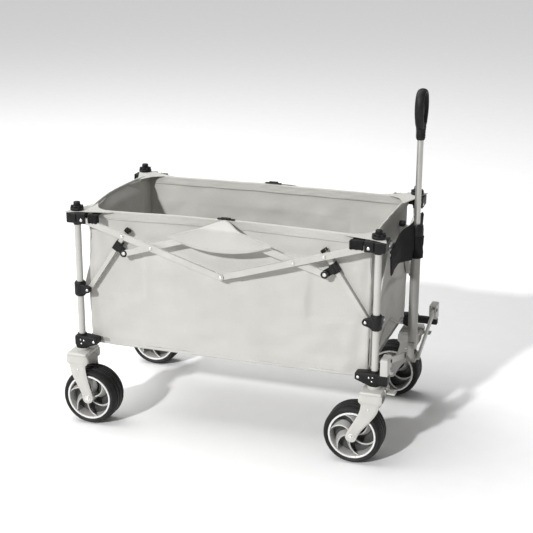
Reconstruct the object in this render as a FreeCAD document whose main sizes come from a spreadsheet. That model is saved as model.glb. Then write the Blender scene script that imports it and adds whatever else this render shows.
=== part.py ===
import FreeCAD, Part
import os
import re

# A folding wagon with a pull handle. X runs to the front (the handle end), Y to the left, Z up.
# The origin is on the ground, under the middle of the whole wagon. Millimetres and degrees.
#
# Each side is a scissor linkage. A bar runs from each top corner down to the middle of the side, a
# cross bar runs from the middle of the rim down across it, and a brace joins the bar to a collar
# that slides on the post. The linkage lies in layers: bar outermost, cross bar next, brace inside.

SIZES = {
    # overall
    "post_x": 860, "post_y": 475, "top_z": 608, "bar_angle": 17,
    # posts and their corners
    "post_r": 9.5, "post_wall": 1.5, "pivot_in": 22, "cheek": 4, "core_in": 12,
    "corner_below": 10, "corner_above": 20, "cap_r": 19, "cap_tall": 13, "knob_r": 9, "knob_tall": 15,
    # bars, braces and how their layers lie
    "bar_tall": 17, "bar_thick": 8, "bar_lap": 38, "cross_in": 1.5, "layer_gap": 1,
    "brace_size": 13, "brace_in": 3.5, "brace_at": 125, "brace_over": 14, "brace_cap": 1.5,
    "cap_from": 7, "shoe_r": 10.5,
    # pins, clearances and rivet heads
    "pin_r": 3, "running": 0.05, "play": 0.3, "head_r": 5.5, "head_thick": 1.6, "tail_thick": 1,
    "spacer_r": 6, "slot_room": 1,
    # collars and clips
    "collar_in": 27, "collar_down": 207, "collar_half": 16, "collar_tall": 38, "ear_tall": 18,
    "clip_wall": 3, "clip_tall": 28,
    # base corners, bottom rails and casters
    "base_z": 242, "base_half": 17, "base_tall": 38, "arm_tall": 32, "rail_pivot": 42, "arm_end": 9,
    "rail_tall": 16, "rail_thick": 5.5, "rail_over": 12, "rail_gap": 0.6, "seat_z": 244,
    # wheels and forks
    "wheel_r": 82, "wheel_w": 76, "tyre_deep": 16, "rim_wall": 4, "rim_w": 62, "web_w": 10,
    "hub_r": 15, "tyre_round": 9, "window_r": 13, "axle_r": 5,
    "fork_gap": 3, "fork_plate": 4, "arm_w": 36, "crown_z": 206, "crown_tall": 12, "crown_half": 22,
    "trail": 50, "rear_lead": 30, "stem_r": 6, "seat_r": 12,
    # brake pedals
    "pedal_out": 29, "pedal_long": 30, "pedal_w": 17, "pedal_thick": 4, "pedal_pin": 2.5, "pedal_eye": 5,
    "lug": 3,
    # pull handle and its links
    "handle_x": 50, "tow_z": 288, "link_thick": 6, "link_gap": 2.5, "tilt_up": 35, "yoke_plate": 4,
    "yoke_half": 10, "knuckle_half": 12, "tilt_pin": 4, "tube_r": 13.5, "tube_wall": 2, "tube_short": 2,
    "tube_below": 10, "bore_from": 16, "rod_r": 8.5, "rod_in": 70, "lock_r": 17, "lock_tall": 30,
    "lock_over": 2, "rod_out": 247, "grip_tall": 140, "grip_w": 88, "grip_thick": 25, "grip_bar": 18,
    "grip_round": 30, "neck_tall": 34,
    # fabric tub and floor board
    "tub_gap": 1.8, "tub_wall": 3, "tub_low": 252, "tub_over": 6, "board_thick": 8, "board_play": 6,
    "board_gap": 3,
}

# Sizes that follow from the ones above.
DERIVED = {
    "collar_z": "top_z - collar_down",
    "tub_top": "top_z + tub_over",
    "tube_top": "top_z - tube_short",
    "grip_low": "top_z - tube_short + rod_out",
    "side_bar": "(post_x / 2 - pivot_in) / cos(bar_angle * 1deg)",
    "end_bar": "(post_y / 2 - pivot_in) / cos(bar_angle * 1deg)",
    "cross_out": "cross_in + bar_thick",
    "bar_in": "cross_in + bar_thick + layer_gap",
    "bar_out": "cross_in + 2 * bar_thick + layer_gap",
    "lap_at": "cross_in + 1.5 * bar_thick + layer_gap",
    "cross_lap_at": "cross_in + 0.5 * bar_thick",
    "cross_tail": "(post_x / 2 - pivot_in) / cos(bar_angle * 1deg) / 2 - brace_at",
    "brace_u": "pivot_in + brace_at * cos(bar_angle * 1deg)",
    "brace_z": "top_z - brace_at * sin(bar_angle * 1deg)",
    "brace_run": "pivot_in + brace_at * cos(bar_angle * 1deg) - collar_in",
    "brace_drop": "top_z - brace_at * sin(bar_angle * 1deg) - collar_z",
    "brace_long": "sqrt(pow(brace_run; 2) + pow(brace_drop; 2))",
    "brace_tilt": "atan(brace_run / brace_drop) / 1deg",
    "clip_drop": "2 * cross_tail * sin(bar_angle * 1deg)",
    "clip_at": "clip_drop * cos(brace_tilt * 1deg)",
    "clip_reach": "clip_drop * sin(brace_tilt * 1deg)",
    "inner_face": "brace_in + brace_size + play + clip_wall",
    "rail_long": "post_x / 2 - rail_pivot",
    "middle_x": "(handle_x + tube_r + link_gap + link_thick + play + cheek - wheel_r + rear_lead) / 2",
    "tub_inset": "inner_face + tub_gap",
    "rim_r": "wheel_r - tyre_deep",
    "fork_in": "wheel_w / 2 + fork_gap",
    "fork_out": "wheel_w / 2 + fork_gap + fork_plate",
    "link_in": "tube_r + link_gap",
    "link_out": "tube_r + link_gap + link_thick",
    "knuckle_z": "tow_z - end_bar * sin(bar_angle * 1deg)",
    "tilt_z": "tow_z - end_bar * sin(bar_angle * 1deg) + tilt_up",
}

HANDLE_X = "post_x / 2 - middle_x + handle_x"
WINDOWS = 6
PANELS = 4
CORNERS = {"rear_right": (-1, -1), "front_right": (1, -1), "front_left": (1, 1), "rear_left": (-1, 1)}

doc = FreeCAD.newDocument("Wagon")
sheet = doc.addObject("Spreadsheet::Sheet", "Sizes")
NODES = []


def formula(text):
    """An expression in which every name from the sheet is written in full."""
    def full(word):
        return "Sizes." + word[0] if word[0] in SIZES or word[0] in DERIVED else word[0]
    return re.sub(r"[a-z]\w*", full, str(text))


def fill_sheet():
    for row, (alias, value) in enumerate(SIZES.items(), 1):
        sheet.set(f"A{row}", alias)
        sheet.set(f"B{row}", str(value))
        sheet.setAlias(f"B{row}", alias)
    for row, (alias, text) in enumerate(DERIVED.items(), len(SIZES) + 2):
        sheet.set(f"A{row}", alias)
        sheet.set(f"B{row}", "=" + formula(text).replace("Sizes.", ""))
        sheet.setAlias(f"B{row}", alias)
    doc.recompute()


class Frame:
    """Where a piece is drawn: u runs inboard from a corner along one side, v inwards across it."""

    def __init__(self, corner, along):
        x_sign, y_sign = CORNERS[corner]
        self.corner = corner
        self.along = along
        self.u_sign = -x_sign if along == "x" else -y_sign
        self.v_sign = -y_sign if along == "x" else -x_sign
        self.first = x_sign < 0 if along == "x" else y_sign < 0

    def bounds(self, u, v):
        """The X and Y ranges of a range in u and one in v."""
        u, v = flip(u, self.u_sign), flip(v, self.v_sign)
        return (u, v) if self.along == "x" else (v, u)

    def place(self, u, v):
        """The X and Y of a point whose u and v are measured from the corner's post."""
        x_sign, y_sign = CORNERS[self.corner]
        u, v = f"{self.u_sign} * ({u})", f"{self.v_sign} * ({v})"
        dx, dy = (u, v) if self.along == "x" else (v, u)
        return f"{x_sign} * post_x / 2 - middle_x + {dx}", f"{y_sign} * post_y / 2 + {dy}"


def flip(span, sign):
    low, high = span
    return (low, high) if sign > 0 else (f"-({high})", f"-({low})")


def bind(thing, prop, text):
    thing.setExpression(prop, formula(text))


def block(name, x, y, z):
    """A box between three ranges."""
    piece = doc.addObject("Part::Box", name)
    for size, axis, (low, high) in zip(("Length", "Width", "Height"), "xyz", (x, y, z)):
        bind(piece, size, f"({high}) - ({low})")
        bind(piece, "Placement.Base." + axis, low)
    return piece


def box(name, frame, u, v, z):
    x, y = frame.bounds(u, v)
    return block(name, x, y, z)


TURN_TO = {
    "x": FreeCAD.Rotation(FreeCAD.Vector(0, 1, 0), 90),
    "y": FreeCAD.Rotation(FreeCAD.Vector(1, 0, 0), -90),
    "z": FreeCAD.Rotation(),
}


def rod(name, axis, radius, span, across=("0", "0")):
    """A cylinder along one world axis over a range, at the place across gives on the other two axes."""
    piece = doc.addObject("Part::Cylinder", name)
    piece.Placement = FreeCAD.Placement(FreeCAD.Vector(), TURN_TO[axis])
    bind(piece, "Radius", radius)
    bind(piece, "Height", f"({span[1]}) - ({span[0]})")
    bind(piece, "Placement.Base." + axis, span[0])
    for other, text in zip("xyz".replace(axis, ""), across):
        bind(piece, "Placement.Base." + other, text)
    return piece


def pin(name, frame, radius, v, u="0", z="0"):
    """A cylinder across a side, over a range in v."""
    (x, _), (y, _) = frame.bounds((u, u), ("0", "0"))
    axis = "y" if frame.along == "x" else "x"
    return rod(name, axis, radius, flip(v, frame.v_sign), (x if axis == "y" else y, z))


def fuse(name, *pieces):
    whole = doc.addObject("Part::MultiFuse", name)
    whole.Shapes = list(pieces)
    whole.Refine = True
    return whole


def cut(name, base, *tools):
    result = doc.addObject("Part::Cut", name)
    result.Base = base
    result.Tool = tools[0] if len(tools) == 1 else fuse(name + "_tools", *tools)
    result.Refine = True
    return result


def rounded(name, base, radius, axis):
    """The base with its four outer edges along one axis rounded."""
    doc.recompute()
    picked = []
    for number, edge in enumerate(base.Shape.Edges, 1):
        ends = [vertex.Point for vertex in edge.Vertexes]
        if len(ends) == 2 and abs((ends[1] - ends[0]).normalize().dot(axis)) > 0.999:
            picked.append(number)
    result = doc.addObject("Part::Fillet", name)
    result.Base = base
    result.Edges = [(number, radius, radius) for number in picked]
    return result


def node(name, *pieces, at=("0", "0", "0"), tilt=None, frame=None):
    """A finished sub-part: its pieces in one place. A tilt turns its own u axis downwards."""
    whole = doc.addObject("Part::Compound", name)
    whole.Links = list(pieces)
    whole.Label = name
    if tilt is not None:
        axis = FreeCAD.Vector(0, 1, 0) if frame.along == "x" else FreeCAD.Vector(1, 0, 0)
        sign = frame.u_sign if frame.along == "x" else -frame.u_sign
        whole.Placement = FreeCAD.Placement(FreeCAD.Vector(), FreeCAD.Rotation(axis, sign))
        bind(whole, "Placement.Rotation.Angle", f"{sign} * ({tilt}) * 1deg")
    for letter, text in zip("xyz", at):
        bind(whole, "Placement.Base." + letter, text)
    NODES.append(whole)
    return whole


def half(text="bar_tall"):
    return (f"-{text} / 2", f"{text} / 2")


def scissor_bar(name, frame, length, crossed):
    """A bar from its top corner down to the middle of its side, where two bars lap on one pin."""
    outer = frame.first
    lap = ("-bar_out", "-lap_at - play / 2") if outer else ("-lap_at + play / 2", "-bar_in")
    full = ("-bar_out", "-bar_in")
    body = fuse(
        name + "_body",
        pin(name + "_eye", frame, "bar_tall / 2", full),
        box(name + "_shank", frame, ("0", f"{length} - bar_lap"), full, half()),
        box(name + "_lap", frame, (f"{length} - bar_lap", length), lap, half()),
        pin(name + "_lap_end", frame, "bar_tall / 2", lap, length),
    )
    holes = [
        pin(name + "_pivot_hole", frame, "pin_r + running", full),
        pin(name + "_brace_hole", frame, "pin_r + running", full, "brace_at"),
    ]
    if not outer:
        holes.append(pin(name + "_middle_hole", frame, "pin_r + running", full, length))
    drilled = cut(name + "_drilled", body, *holes)
    rivets = []
    if outer:
        rivets.append(rivet(name + "_middle", frame, ("-bar_out", "-bar_in"), length))
    if crossed:
        rivets.append(rivet(name + "_cross", frame, ("-bar_out", "-cross_in"), f"{length} / 2"))
    whole = fuse(name + "_solid", drilled, *rivets) if rivets else drilled
    x, y = frame.place("pivot_in", "0")
    node(name, whole, at=(x, y, "top_z"), tilt="bar_angle", frame=frame)


def rivet(name, frame, v, u="0", z="0"):
    """A pin over a range in v with a head at each end, the inner one clear of what turns on it."""
    low, high = v
    start, end = f"{low} - head_thick", f"{high} + play + tail_thick"
    return fuse(
        name + "_rivet",
        pin(name + "_shank_pin", frame, "pin_r", (start, end), u, z),
        pin(name + "_head", frame, "head_r", (start, low), u, z),
        pin(name + "_tail", frame, "head_r", (f"{high} + play", end), u, z),
    )


def cross_bar(name, frame):
    """A bar that crosses the scissor bar at its middle and ends in a black shoe at the clip."""
    outer = frame.first
    full = ("-cross_out", "-cross_in")
    lap = (full[0], "-cross_lap_at - play / 2") if outer else ("-cross_lap_at + play / 2", full[1])
    length = "side_bar / 2"
    body = fuse(
        name + "_body",
        pin(name + "_shoe", frame, "shoe_r", full, "-cross_tail"),
        box(name + "_shank", frame, ("-cross_tail", f"{length} - bar_lap"), full, half()),
        box(name + "_lap", frame, (f"{length} - bar_lap", length), lap, half()),
        pin(name + "_lap_end", frame, "bar_tall / 2", lap, length),
    )
    holes = [pin(name + "_hole", frame, "pin_r + running", full)]
    if not outer:
        holes.append(pin(name + "_middle_hole", frame, "pin_r + 2 * running", full, length))
    drilled = cut(name + "_drilled", body, *holes)
    extras = [pin(name + "_shoe_head", frame, "head_r", ("-cross_out - layer_gap / 2", "-cross_out"),
                  "-cross_tail")]
    if outer:
        extras.append(pin(name + "_middle_pin", frame, "pin_r", full, length))
    x, y = frame.place("pivot_in + side_bar / 2 * cos(bar_angle * 1deg)", "0")
    node(name, fuse(name + "_solid", drilled, *extras), frame=frame, tilt="-bar_angle",
         at=(x, y, "top_z - side_bar / 2 * sin(bar_angle * 1deg)"))


def brace(name, frame):
    """A square tube from its pin on the bar down to the collar, with a cap over its upper end."""
    layer = ("brace_in", "brace_in + brace_size")
    tube = fuse(
        name + "_solid",
        box(name + "_tube", frame, half("brace_size"), layer, ("-brace_long", "brace_over")),
        pin(name + "_foot", frame, "brace_size / 2", layer, "0", "-brace_long"),
        box(name + "_cap", frame, ("-brace_size / 2 - brace_cap", "brace_size / 2 + brace_cap"),
            ("brace_in - brace_cap", "brace_in + brace_size + brace_cap"),
            ("cap_from", "brace_over + brace_cap")),
        pin(name + "_pin", frame, "pin_r", ("-bar_out - play", "brace_in")),
        pin(name + "_head", frame, "head_r", ("-bar_out - play - head_thick", "-bar_out - play")),
        pin(name + "_spacer", frame, "spacer_r", ("-bar_in + play", "brace_in")),
        pin(name + "_foot_head", frame, "head_r",
            ("brace_in + brace_size", "brace_in + brace_size + head_thick"), "0", "-brace_long"),
    )
    x, y = frame.place("brace_u", "0")
    node(name, tube, at=(x, y, "brace_z"), tilt="brace_tilt", frame=frame)


def clip(name, frame):
    """A sleeve that slides on the brace, with an ear behind the cross bar's shoe."""
    span = ("-clip_at - clip_tall / 2", "-clip_at + clip_tall / 2")
    wall = "play + clip_wall"
    sleeve = box(name + "_sleeve", frame,
                 (f"-brace_size / 2 - ({wall})", f"brace_size / 2 + {wall}"),
                 (f"brace_in - ({wall})", f"brace_in + brace_size + {wall}"), span)
    ear_v = ("-cross_in + play", "brace_in - play")
    ear = box(name + "_ear", frame, ("0", "clip_reach"), ear_v,
              ("-clip_at - shoe_r", "-clip_at + shoe_r"))
    tip = pin(name + "_tip", frame, "shoe_r", ear_v, "clip_reach", "-clip_at")
    way = box(name + "_way", frame, ("-brace_size / 2 - play", "brace_size / 2 + play"),
              ("brace_in - play", "brace_in + brace_size + play"),
              ("-clip_at - clip_tall", "-clip_at + clip_tall"))
    x, y = frame.place("brace_u", "0")
    node(name, cut(name + "_solid", fuse(name + "_body", sleeve, ear, tip), way),
         at=(x, y, "brace_z"), tilt="brace_tilt", frame=frame)


def corner_place(corner, z="0"):
    x_sign, y_sign = CORNERS[corner]
    return f"{x_sign} * post_x / 2 - middle_x", f"{y_sign} * post_y / 2", z


def post(corner):
    name = "post_" + corner
    span = ("seat_z", "top_z + corner_above - cheek")
    tube = cut(name + "_solid", rod(name + "_outside", "z", "post_r", span),
               rod(name + "_bore", "z", "post_r - post_wall", span))
    node(name, tube, at=corner_place(corner))


def top_corner(corner):
    """The moulded corner on a post, with a slot and a rivet for each of its two bars."""
    name = "top_corner_" + corner
    sides = [Frame(corner, "x"), Frame(corner, "y")]
    span = ("-corner_below", "corner_above")
    outside = "-bar_out - cheek"
    arm_end = "pivot_in + bar_tall / 2 + slot_room"
    solids = [box(name + "_core", sides[0], (outside, "core_in"), (outside, "core_in"), span)]
    holes = [rod(name + "_post_hole", "z", "post_r", ("-2 * corner_below", "corner_above - cheek"))]
    rivets = []
    for frame in sides:
        tag = name + "_" + frame.along
        solids.append(box(tag + "_arm", frame, ("0", arm_end), (outside, "-cross_in"), span))
        holes.append(box(tag + "_slot", frame, ("pivot_in - bar_tall / 2 - slot_room", "2 * pivot_in"),
                         ("-bar_out - play", "-bar_in + play"),
                         ("-2 * corner_below", "bar_tall / 2 + slot_room")))
        rivets += [
            pin(tag + "_pin", frame, "pin_r", (f"{outside} - head_thick", "-cross_in"), "pivot_in"),
            pin(tag + "_head", frame, "head_r", (f"{outside} - head_thick", outside), "pivot_in"),
        ]
    moulded = cut(name + "_moulded", fuse(name + "_block", *solids), *holes)
    knob = [
        rod(name + "_cap", "z", "cap_r", ("corner_above", "corner_above + cap_tall")),
        rod(name + "_knob", "z", "knob_r",
            ("corner_above + cap_tall", "corner_above + cap_tall + knob_tall")),
    ]
    node(name, fuse(name + "_solid", moulded, *rivets, *knob), at=corner_place(corner, "top_z"))


def collar(corner):
    """The sliding collar, with an ear for the brace of each side."""
    name = "collar_" + corner
    sides = [Frame(corner, "x"), Frame(corner, "y")]
    core = ("-collar_half", "collar_half")
    solids = [box(name + "_core", sides[0], core, core, half("collar_tall"))]
    for frame in sides:
        tag = name + "_" + frame.along
        ear = ("-cross_out", "-cross_in")
        solids += [
            box(tag + "_ear", frame, ("0", "collar_in"), ear, half("ear_tall")),
            pin(tag + "_ear_end", frame, "ear_tall / 2", ear, "collar_in"),
            pin(tag + "_head", frame, "head_r", ("-cross_out - head_thick", "-cross_out"), "collar_in"),
            pin(tag + "_stub", frame, "spacer_r", ("-cross_in", "brace_in - play"), "collar_in"),
        ]
    bore = rod(name + "_bore", "z", "post_r + play", ("-collar_tall", "collar_tall"))
    node(name, cut(name + "_solid", fuse(name + "_body", *solids), bore),
         at=corner_place(corner, "collar_z"))


def base_corner(corner):
    """The moulded corner under a post, with the bottom rail's pivot. A rear one holds its fork."""
    name = "base_corner_" + corner
    side = Frame(corner, "x")
    core = ("-base_half", "base_half")
    first = side.first
    pin_end = "inner_face + rail_gap + rail_thick" + ("" if first else " * 2 + rail_gap")
    solids = [
        box(name + "_core", side, core, core, half("base_tall")),
        box(name + "_arm", side, ("0", "rail_pivot + arm_end"), ("-base_half", "inner_face"),
            half("arm_tall")),
        pin(name + "_head", side, "head_r", ("-base_half - head_thick", "-base_half"), "rail_pivot"),
        pin(name + "_pin", side, "pin_r", ("0", pin_end + " + play + tail_thick"), "rail_pivot"),
        pin(name + "_tail", side, "head_r", (pin_end + " + play", pin_end + " + play + tail_thick"),
            "rail_pivot"),
    ]
    if not first:
        solids.append(pin(name + "_spacer", side, "head_r",
                          ("inner_face", "inner_face + rail_gap / 2 + rail_thick"), "rail_pivot"))
    holes = [rod(name + "_post_hole", "z", "post_r", ("seat_z - base_z", "base_tall"))]
    if corner.startswith("front"):
        solids += tow_clevis(name, Frame(corner, "y"))
        holes.append(tow_slot(name, Frame(corner, "y")))
        holes.append(rod(name + "_stem_bore", "z", "stem_r + running", ("-base_tall", "0")))
        body = cut(name + "_bored", fuse(name + "_block", *solids), *holes)
        body = fuse(name + "_solid", body, tow_pin(name, Frame(corner, "y")))
        node(name, body, at=corner_place(corner, "base_z"))
        return
    body = cut(name + "_solid", fuse(name + "_block", *solids), *holes)
    node(name, body, fork_solid(name + "_fork", side.u_sign, "rear_lead", "base_z", False),
         at=corner_place(corner, "base_z"))


def link_layer(frame):
    """The range in v of a tow link: the right one behind the handle's tube, the left one before it."""
    if frame.first:
        return "-handle_x + link_in", "-handle_x + link_out"
    return "-handle_x - link_out", "-handle_x - link_in"


def tow_clevis(name, frame):
    """A block for the tow link, standing clear in front of where the collar comes down."""
    front = f"{link_layer(frame)[0]} - play - cheek"
    width = ("-base_half", "pivot_in + bar_tall / 2 + slot_room")
    top = "tow_z - base_z + bar_tall / 2 + cheek + slot_room"
    return [
        box(name + "_clevis_foot", frame, width, (front, "0"), ("-arm_tall / 2", "base_tall / 2")),
        box(name + "_clevis", frame, width, (front, "-collar_half - slot_room"), ("-arm_tall / 2", top)),
    ]


def tow_slot(name, frame):
    low, high = link_layer(frame)
    return box(name + "_slot", frame, ("pivot_in - bar_tall / 2 - slot_room", "2 * pivot_in"),
               (f"{low} - play", f"{high} + play"),
               ("-base_tall", "tow_z - base_z + bar_tall / 2 + slot_room"))


def tow_pin(name, frame):
    low, high = link_layer(frame)
    return pin(name + "_tow_pin", frame, "pin_r",
               (f"{low} - play - cheek / 2", f"{high} + play + tail_thick"), "pivot_in", "tow_z - base_z")


def fork_solid(name, way, lead, origin, swivels):
    """A crown over the wheel, two arms down to the axle, and the axle; lead moves the axle along X."""
    crown = block(name + "_crown", ("-crown_half", "crown_half"), ("-fork_out", "fork_out"),
                  (f"crown_z - {origin}", f"crown_z + crown_tall - {origin}"))
    drop = "(crown_z - wheel_r)"
    pieces = [crown]
    for tag, low, high in (("left", "fork_in", "fork_out"), ("right", "-fork_out", "-fork_in")):
        arm = doc.addObject("Part::Box", f"{name}_{tag}_arm")
        arm.Placement = FreeCAD.Placement(FreeCAD.Vector(), FreeCAD.Rotation(FreeCAD.Vector(0, 1, 0), 1))
        bind(arm, "Length", "arm_w")
        bind(arm, "Width", "fork_plate")
        bind(arm, "Height", f"sqrt(pow({drop}; 2) + pow({lead}; 2))")
        lean = f"-{way} * atan({lead} / {drop})"
        bind(arm, "Placement.Rotation.Angle", lean)
        bind(arm, "Placement.Base.x", f"{way} * {lead} - arm_w / 2 * cos({lean})")
        bind(arm, "Placement.Base.y", low)
        bind(arm, "Placement.Base.z", f"wheel_r - {origin} + arm_w / 2 * sin({lean})")
        pieces.append(arm)
        pieces.append(rod(f"{name}_{tag}_foot", "y", "arm_w / 2", (low, high),
                          (f"{way} * {lead}", f"wheel_r - {origin}")))
    axle = (f"{way} * {lead}", f"wheel_r - {origin}")
    pieces.append(rod(name + "_axle", "y", "axle_r", ("-fork_out - cheek", "fork_out + cheek"), axle))
    if swivels:
        pieces.append(rod(name + "_stem", "z", "stem_r",
                          (f"crown_z - {origin}", f"base_z - play - {origin}")))
        lug_z = (f"crown_z - {origin} - pedal_eye", f"crown_z + crown_tall - {origin}")
        for tag, low, high in (("left", "pedal_w / 2 + play", "pedal_w / 2 + play + lug"),
                               ("right", "-pedal_w / 2 - play - lug", "-pedal_w / 2 - play")):
            pieces.append(block(f"{name}_{tag}_lug", ("0", "pedal_out + pedal_eye"), (low, high),
                                lug_z))
        pieces.append(rod(name + "_pedal_pin", "y", "pedal_pin",
                          ("-pedal_w / 2 - lug", "pedal_w / 2 + lug"),
                          ("pedal_out", f"crown_z - {origin}")))
    else:
        pieces.append(rod(name + "_seat", "z", "seat_r",
                          (f"crown_z - {origin}", f"base_z - base_tall / 2 - {origin}")))
    return fuse(name, *pieces)


def fork(corner):
    name = "fork_" + corner
    x, y, _ = corner_place(corner)
    node(name, fork_solid(name + "_solid", -1, "trail", "base_z", True), at=(x, y, "base_z"))


def brake_pedal(corner):
    name = "brake_pedal_" + corner
    barrel = rod(name + "_barrel", "y", "pedal_eye", ("-pedal_w / 2", "pedal_w / 2"))
    tread = block(name + "_tread", ("0", "pedal_long"), ("-pedal_w / 2", "pedal_w / 2"),
                  ("-pedal_thick / 2", "pedal_thick / 2"))
    hole = rod(name + "_hole", "y", "pedal_pin + running", ("-pedal_w", "pedal_w"))
    x, y, _ = corner_place(corner)
    node(name, cut(name + "_solid", fuse(name + "_body", barrel, tread), hole),
         at=(x + " + pedal_out", y, "crown_z"))


def wheel(corner):
    """A tyre on a rim whose web has a ring of windows round the hub."""
    name = "wheel_" + corner
    tread = doc.addObject("Part::Cylinder", name + "_tread")
    tread.Placement = FreeCAD.Placement(FreeCAD.Vector(), TURN_TO["y"])
    bind(tread, "Radius", "wheel_r")
    bind(tread, "Height", "wheel_w")
    bind(tread, "Placement.Base.y", "-wheel_w / 2")
    doc.recompute()
    shoulders = doc.addObject("Part::Fillet", name + "_shoulders")
    shoulders.Base = tread
    shoulders.Edges = [(number, sheet.tyre_round, sheet.tyre_round)
                       for number, edge in enumerate(tread.Shape.Edges, 1) if len(edge.Vertexes) == 1]
    tyre = cut(name + "_tyre", shoulders, rod(name + "_seat", "y", "rim_r", ("-wheel_w", "wheel_w")))
    inside = [
        rod(name + "_pan_left", "y", "rim_r - rim_wall", ("web_w / 2", "wheel_w")),
        rod(name + "_pan_right", "y", "rim_r - rim_wall", ("-wheel_w", "-web_w / 2")),
    ]
    rim = cut(name + "_rim", rod(name + "_drum", "y", "rim_r", half("rim_w")), *inside)
    hub = rod(name + "_hub", "y", "hub_r", ("-wheel_w / 2", "wheel_w / 2"))
    middle = "(rim_r - rim_wall + hub_r) / 2"
    holes = [rod(name + "_bore", "y", "axle_r + running", ("-wheel_w", "wheel_w"))]
    for number in range(WINDOWS):
        angle = f"{360 / WINDOWS * number}deg"
        holes.append(rod(f"{name}_window_{number}", "y", "window_r", ("-web_w", "web_w"),
                         (f"{middle} * cos({angle})", f"{middle} * sin({angle})")))
    body = cut(name + "_body", fuse(name + "_blank", rim, hub), *holes)
    x, y, _ = corner_place(corner)
    ahead = "rear_lead" if corner.startswith("rear") else "-trail"
    node(name, body, tyre, at=(f"{x} + {ahead}", y, "wheel_r"))


def bottom_rail(corner):
    """Half of a bottom rail, from its pivot on the base corner to just past the middle."""
    name = "bottom_rail_" + corner
    frame = Frame(corner, "x")
    low = "inner_face + rail_gap" + ("" if frame.first else " + rail_thick + rail_gap")
    layer = (low, low + " + rail_thick")
    body = fuse(
        name + "_body",
        box(name + "_bar", frame, ("0", "rail_long + rail_over"), layer, half("rail_tall")),
        pin(name + "_eye", frame, "rail_tall / 2", layer),
        pin(name + "_end", frame, "rail_tall / 2", layer, "rail_long + rail_over"),
    )
    hole = pin(name + "_hole", frame, "pin_r + running", layer)
    x, y = frame.place("rail_pivot", "0")
    node(name, cut(name + "_solid", body, hole), at=(x, y, "base_z"), tilt="0", frame=frame)


def tow_link(corner):
    name = "tow_link_" + corner.split("_")[1]
    frame = Frame(corner, "y")
    layer = link_layer(frame)
    body = fuse(
        name + "_body",
        box(name + "_bar", frame, ("0", "end_bar"), layer, half()),
        pin(name + "_eye", frame, "bar_tall / 2", layer),
        pin(name + "_end", frame, "bar_tall / 2", layer, "end_bar"),
    )
    holes = [pin(name + "_hole", frame, "pin_r + running", layer),
             pin(name + "_end_hole", frame, "pin_r + 2 * running", layer, "end_bar")]
    x, y = frame.place("pivot_in", "0")
    node(name, cut(name + "_solid", body, *holes), at=(x, y, "tow_z"), tilt="bar_angle", frame=frame)


def handle_knuckle():
    """The yoke that both tow links carry and the handle tilts in."""
    name = "handle_knuckle"
    wide = "tube_r + play + yoke_plate"
    hub = block(name + "_hub", ("-tube_r", "tube_r"), (f"-({wide})", wide),
                ("-knuckle_half", "knuckle_half"))
    tall = ("-knuckle_half", "tilt_up + yoke_half")
    plates = [
        block(name + "_plate_left", ("-yoke_half", "yoke_half"), ("tube_r + play", wide), tall),
        block(name + "_plate_right", ("-yoke_half", "yoke_half"), (f"-({wide})", "-tube_r - play"), tall),
    ]
    end = "link_out + play + tail_thick"
    pins = [
        rod(name + "_link_pin", "x", "pin_r", (f"-({end})", end)),
        rod(name + "_rear_boss", "x", "head_r", ("-link_in + play", "-tube_r + play")),
        rod(name + "_front_boss", "x", "head_r", ("tube_r - play", "link_in - play")),
        rod(name + "_rear_head", "x", "head_r", (f"-({end})", "-link_out - play")),
        rod(name + "_front_head", "x", "head_r", ("link_out + play", end)),
        rod(name + "_tilt_pin", "y", "tilt_pin", (f"-({wide}) - tail_thick", f"{wide} + tail_thick"),
            ("0", "tilt_up")),
    ]
    node(name, fuse(name + "_solid", hub, *plates, *pins), at=(HANDLE_X, "0", "knuckle_z"))


def handle_outer_tube():
    name = "handle_outer_tube"
    top = "tube_top - tilt_z"
    solid = fuse(
        name + "_body",
        rod(name + "_tube", "z", "tube_r", ("-tube_below", top)),
        rod(name + "_lock", "z", "lock_r", (f"{top} - lock_tall", f"{top} + lock_over")),
    )
    holes = [
        rod(name + "_bore", "z", "tube_r - tube_wall", ("bore_from", f"{top} - lock_tall")),
        rod(name + "_guide", "z", "rod_r + play", (f"{top} - lock_tall", f"{top} + lock_tall")),
        rod(name + "_pivot", "y", "tilt_pin + running", ("-2 * tube_r", "2 * tube_r")),
    ]
    node(name, cut(name + "_solid", solid, *holes), at=(HANDLE_X, "0", "tilt_z"))


def handle_inner_tube():
    name = "handle_inner_tube"
    node(name, rod(name + "_solid", "z", "rod_r", ("tube_top - lock_tall - rod_in", "grip_low")),
         at=(HANDLE_X, "0", "0"))


def handle_grip():
    """A closed loop to pull by, on a neck at the top of the inner tube."""
    name = "handle_grip"
    loop = block(name + "_loop", half("grip_thick"), half("grip_w"), ("neck_tall", "grip_tall"))
    side = "grip_w / 2 - grip_bar"
    opening = block(name + "_opening", ("-grip_thick", "grip_thick"), (f"-({side})", side),
                    ("neck_tall + grip_bar", "grip_tall - grip_bar"))
    along = FreeCAD.Vector(1, 0, 0)
    shell = cut(name + "_ring", rounded(name + "_round", loop, sheet.grip_round, along),
                rounded(name + "_inner_round", opening, sheet.grip_round - sheet.grip_bar / 2, along))
    neck = rod(name + "_neck", "z", "grip_thick / 2", ("0", "neck_tall + grip_bar / 2"))
    socket = rod(name + "_socket", "z", "rod_r", ("-rod_r", "rod_r"))
    node(name, cut(name + "_solid", fuse(name + "_body", shell, neck), socket),
         at=(HANDLE_X, "0", "grip_low - rod_r"))


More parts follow.
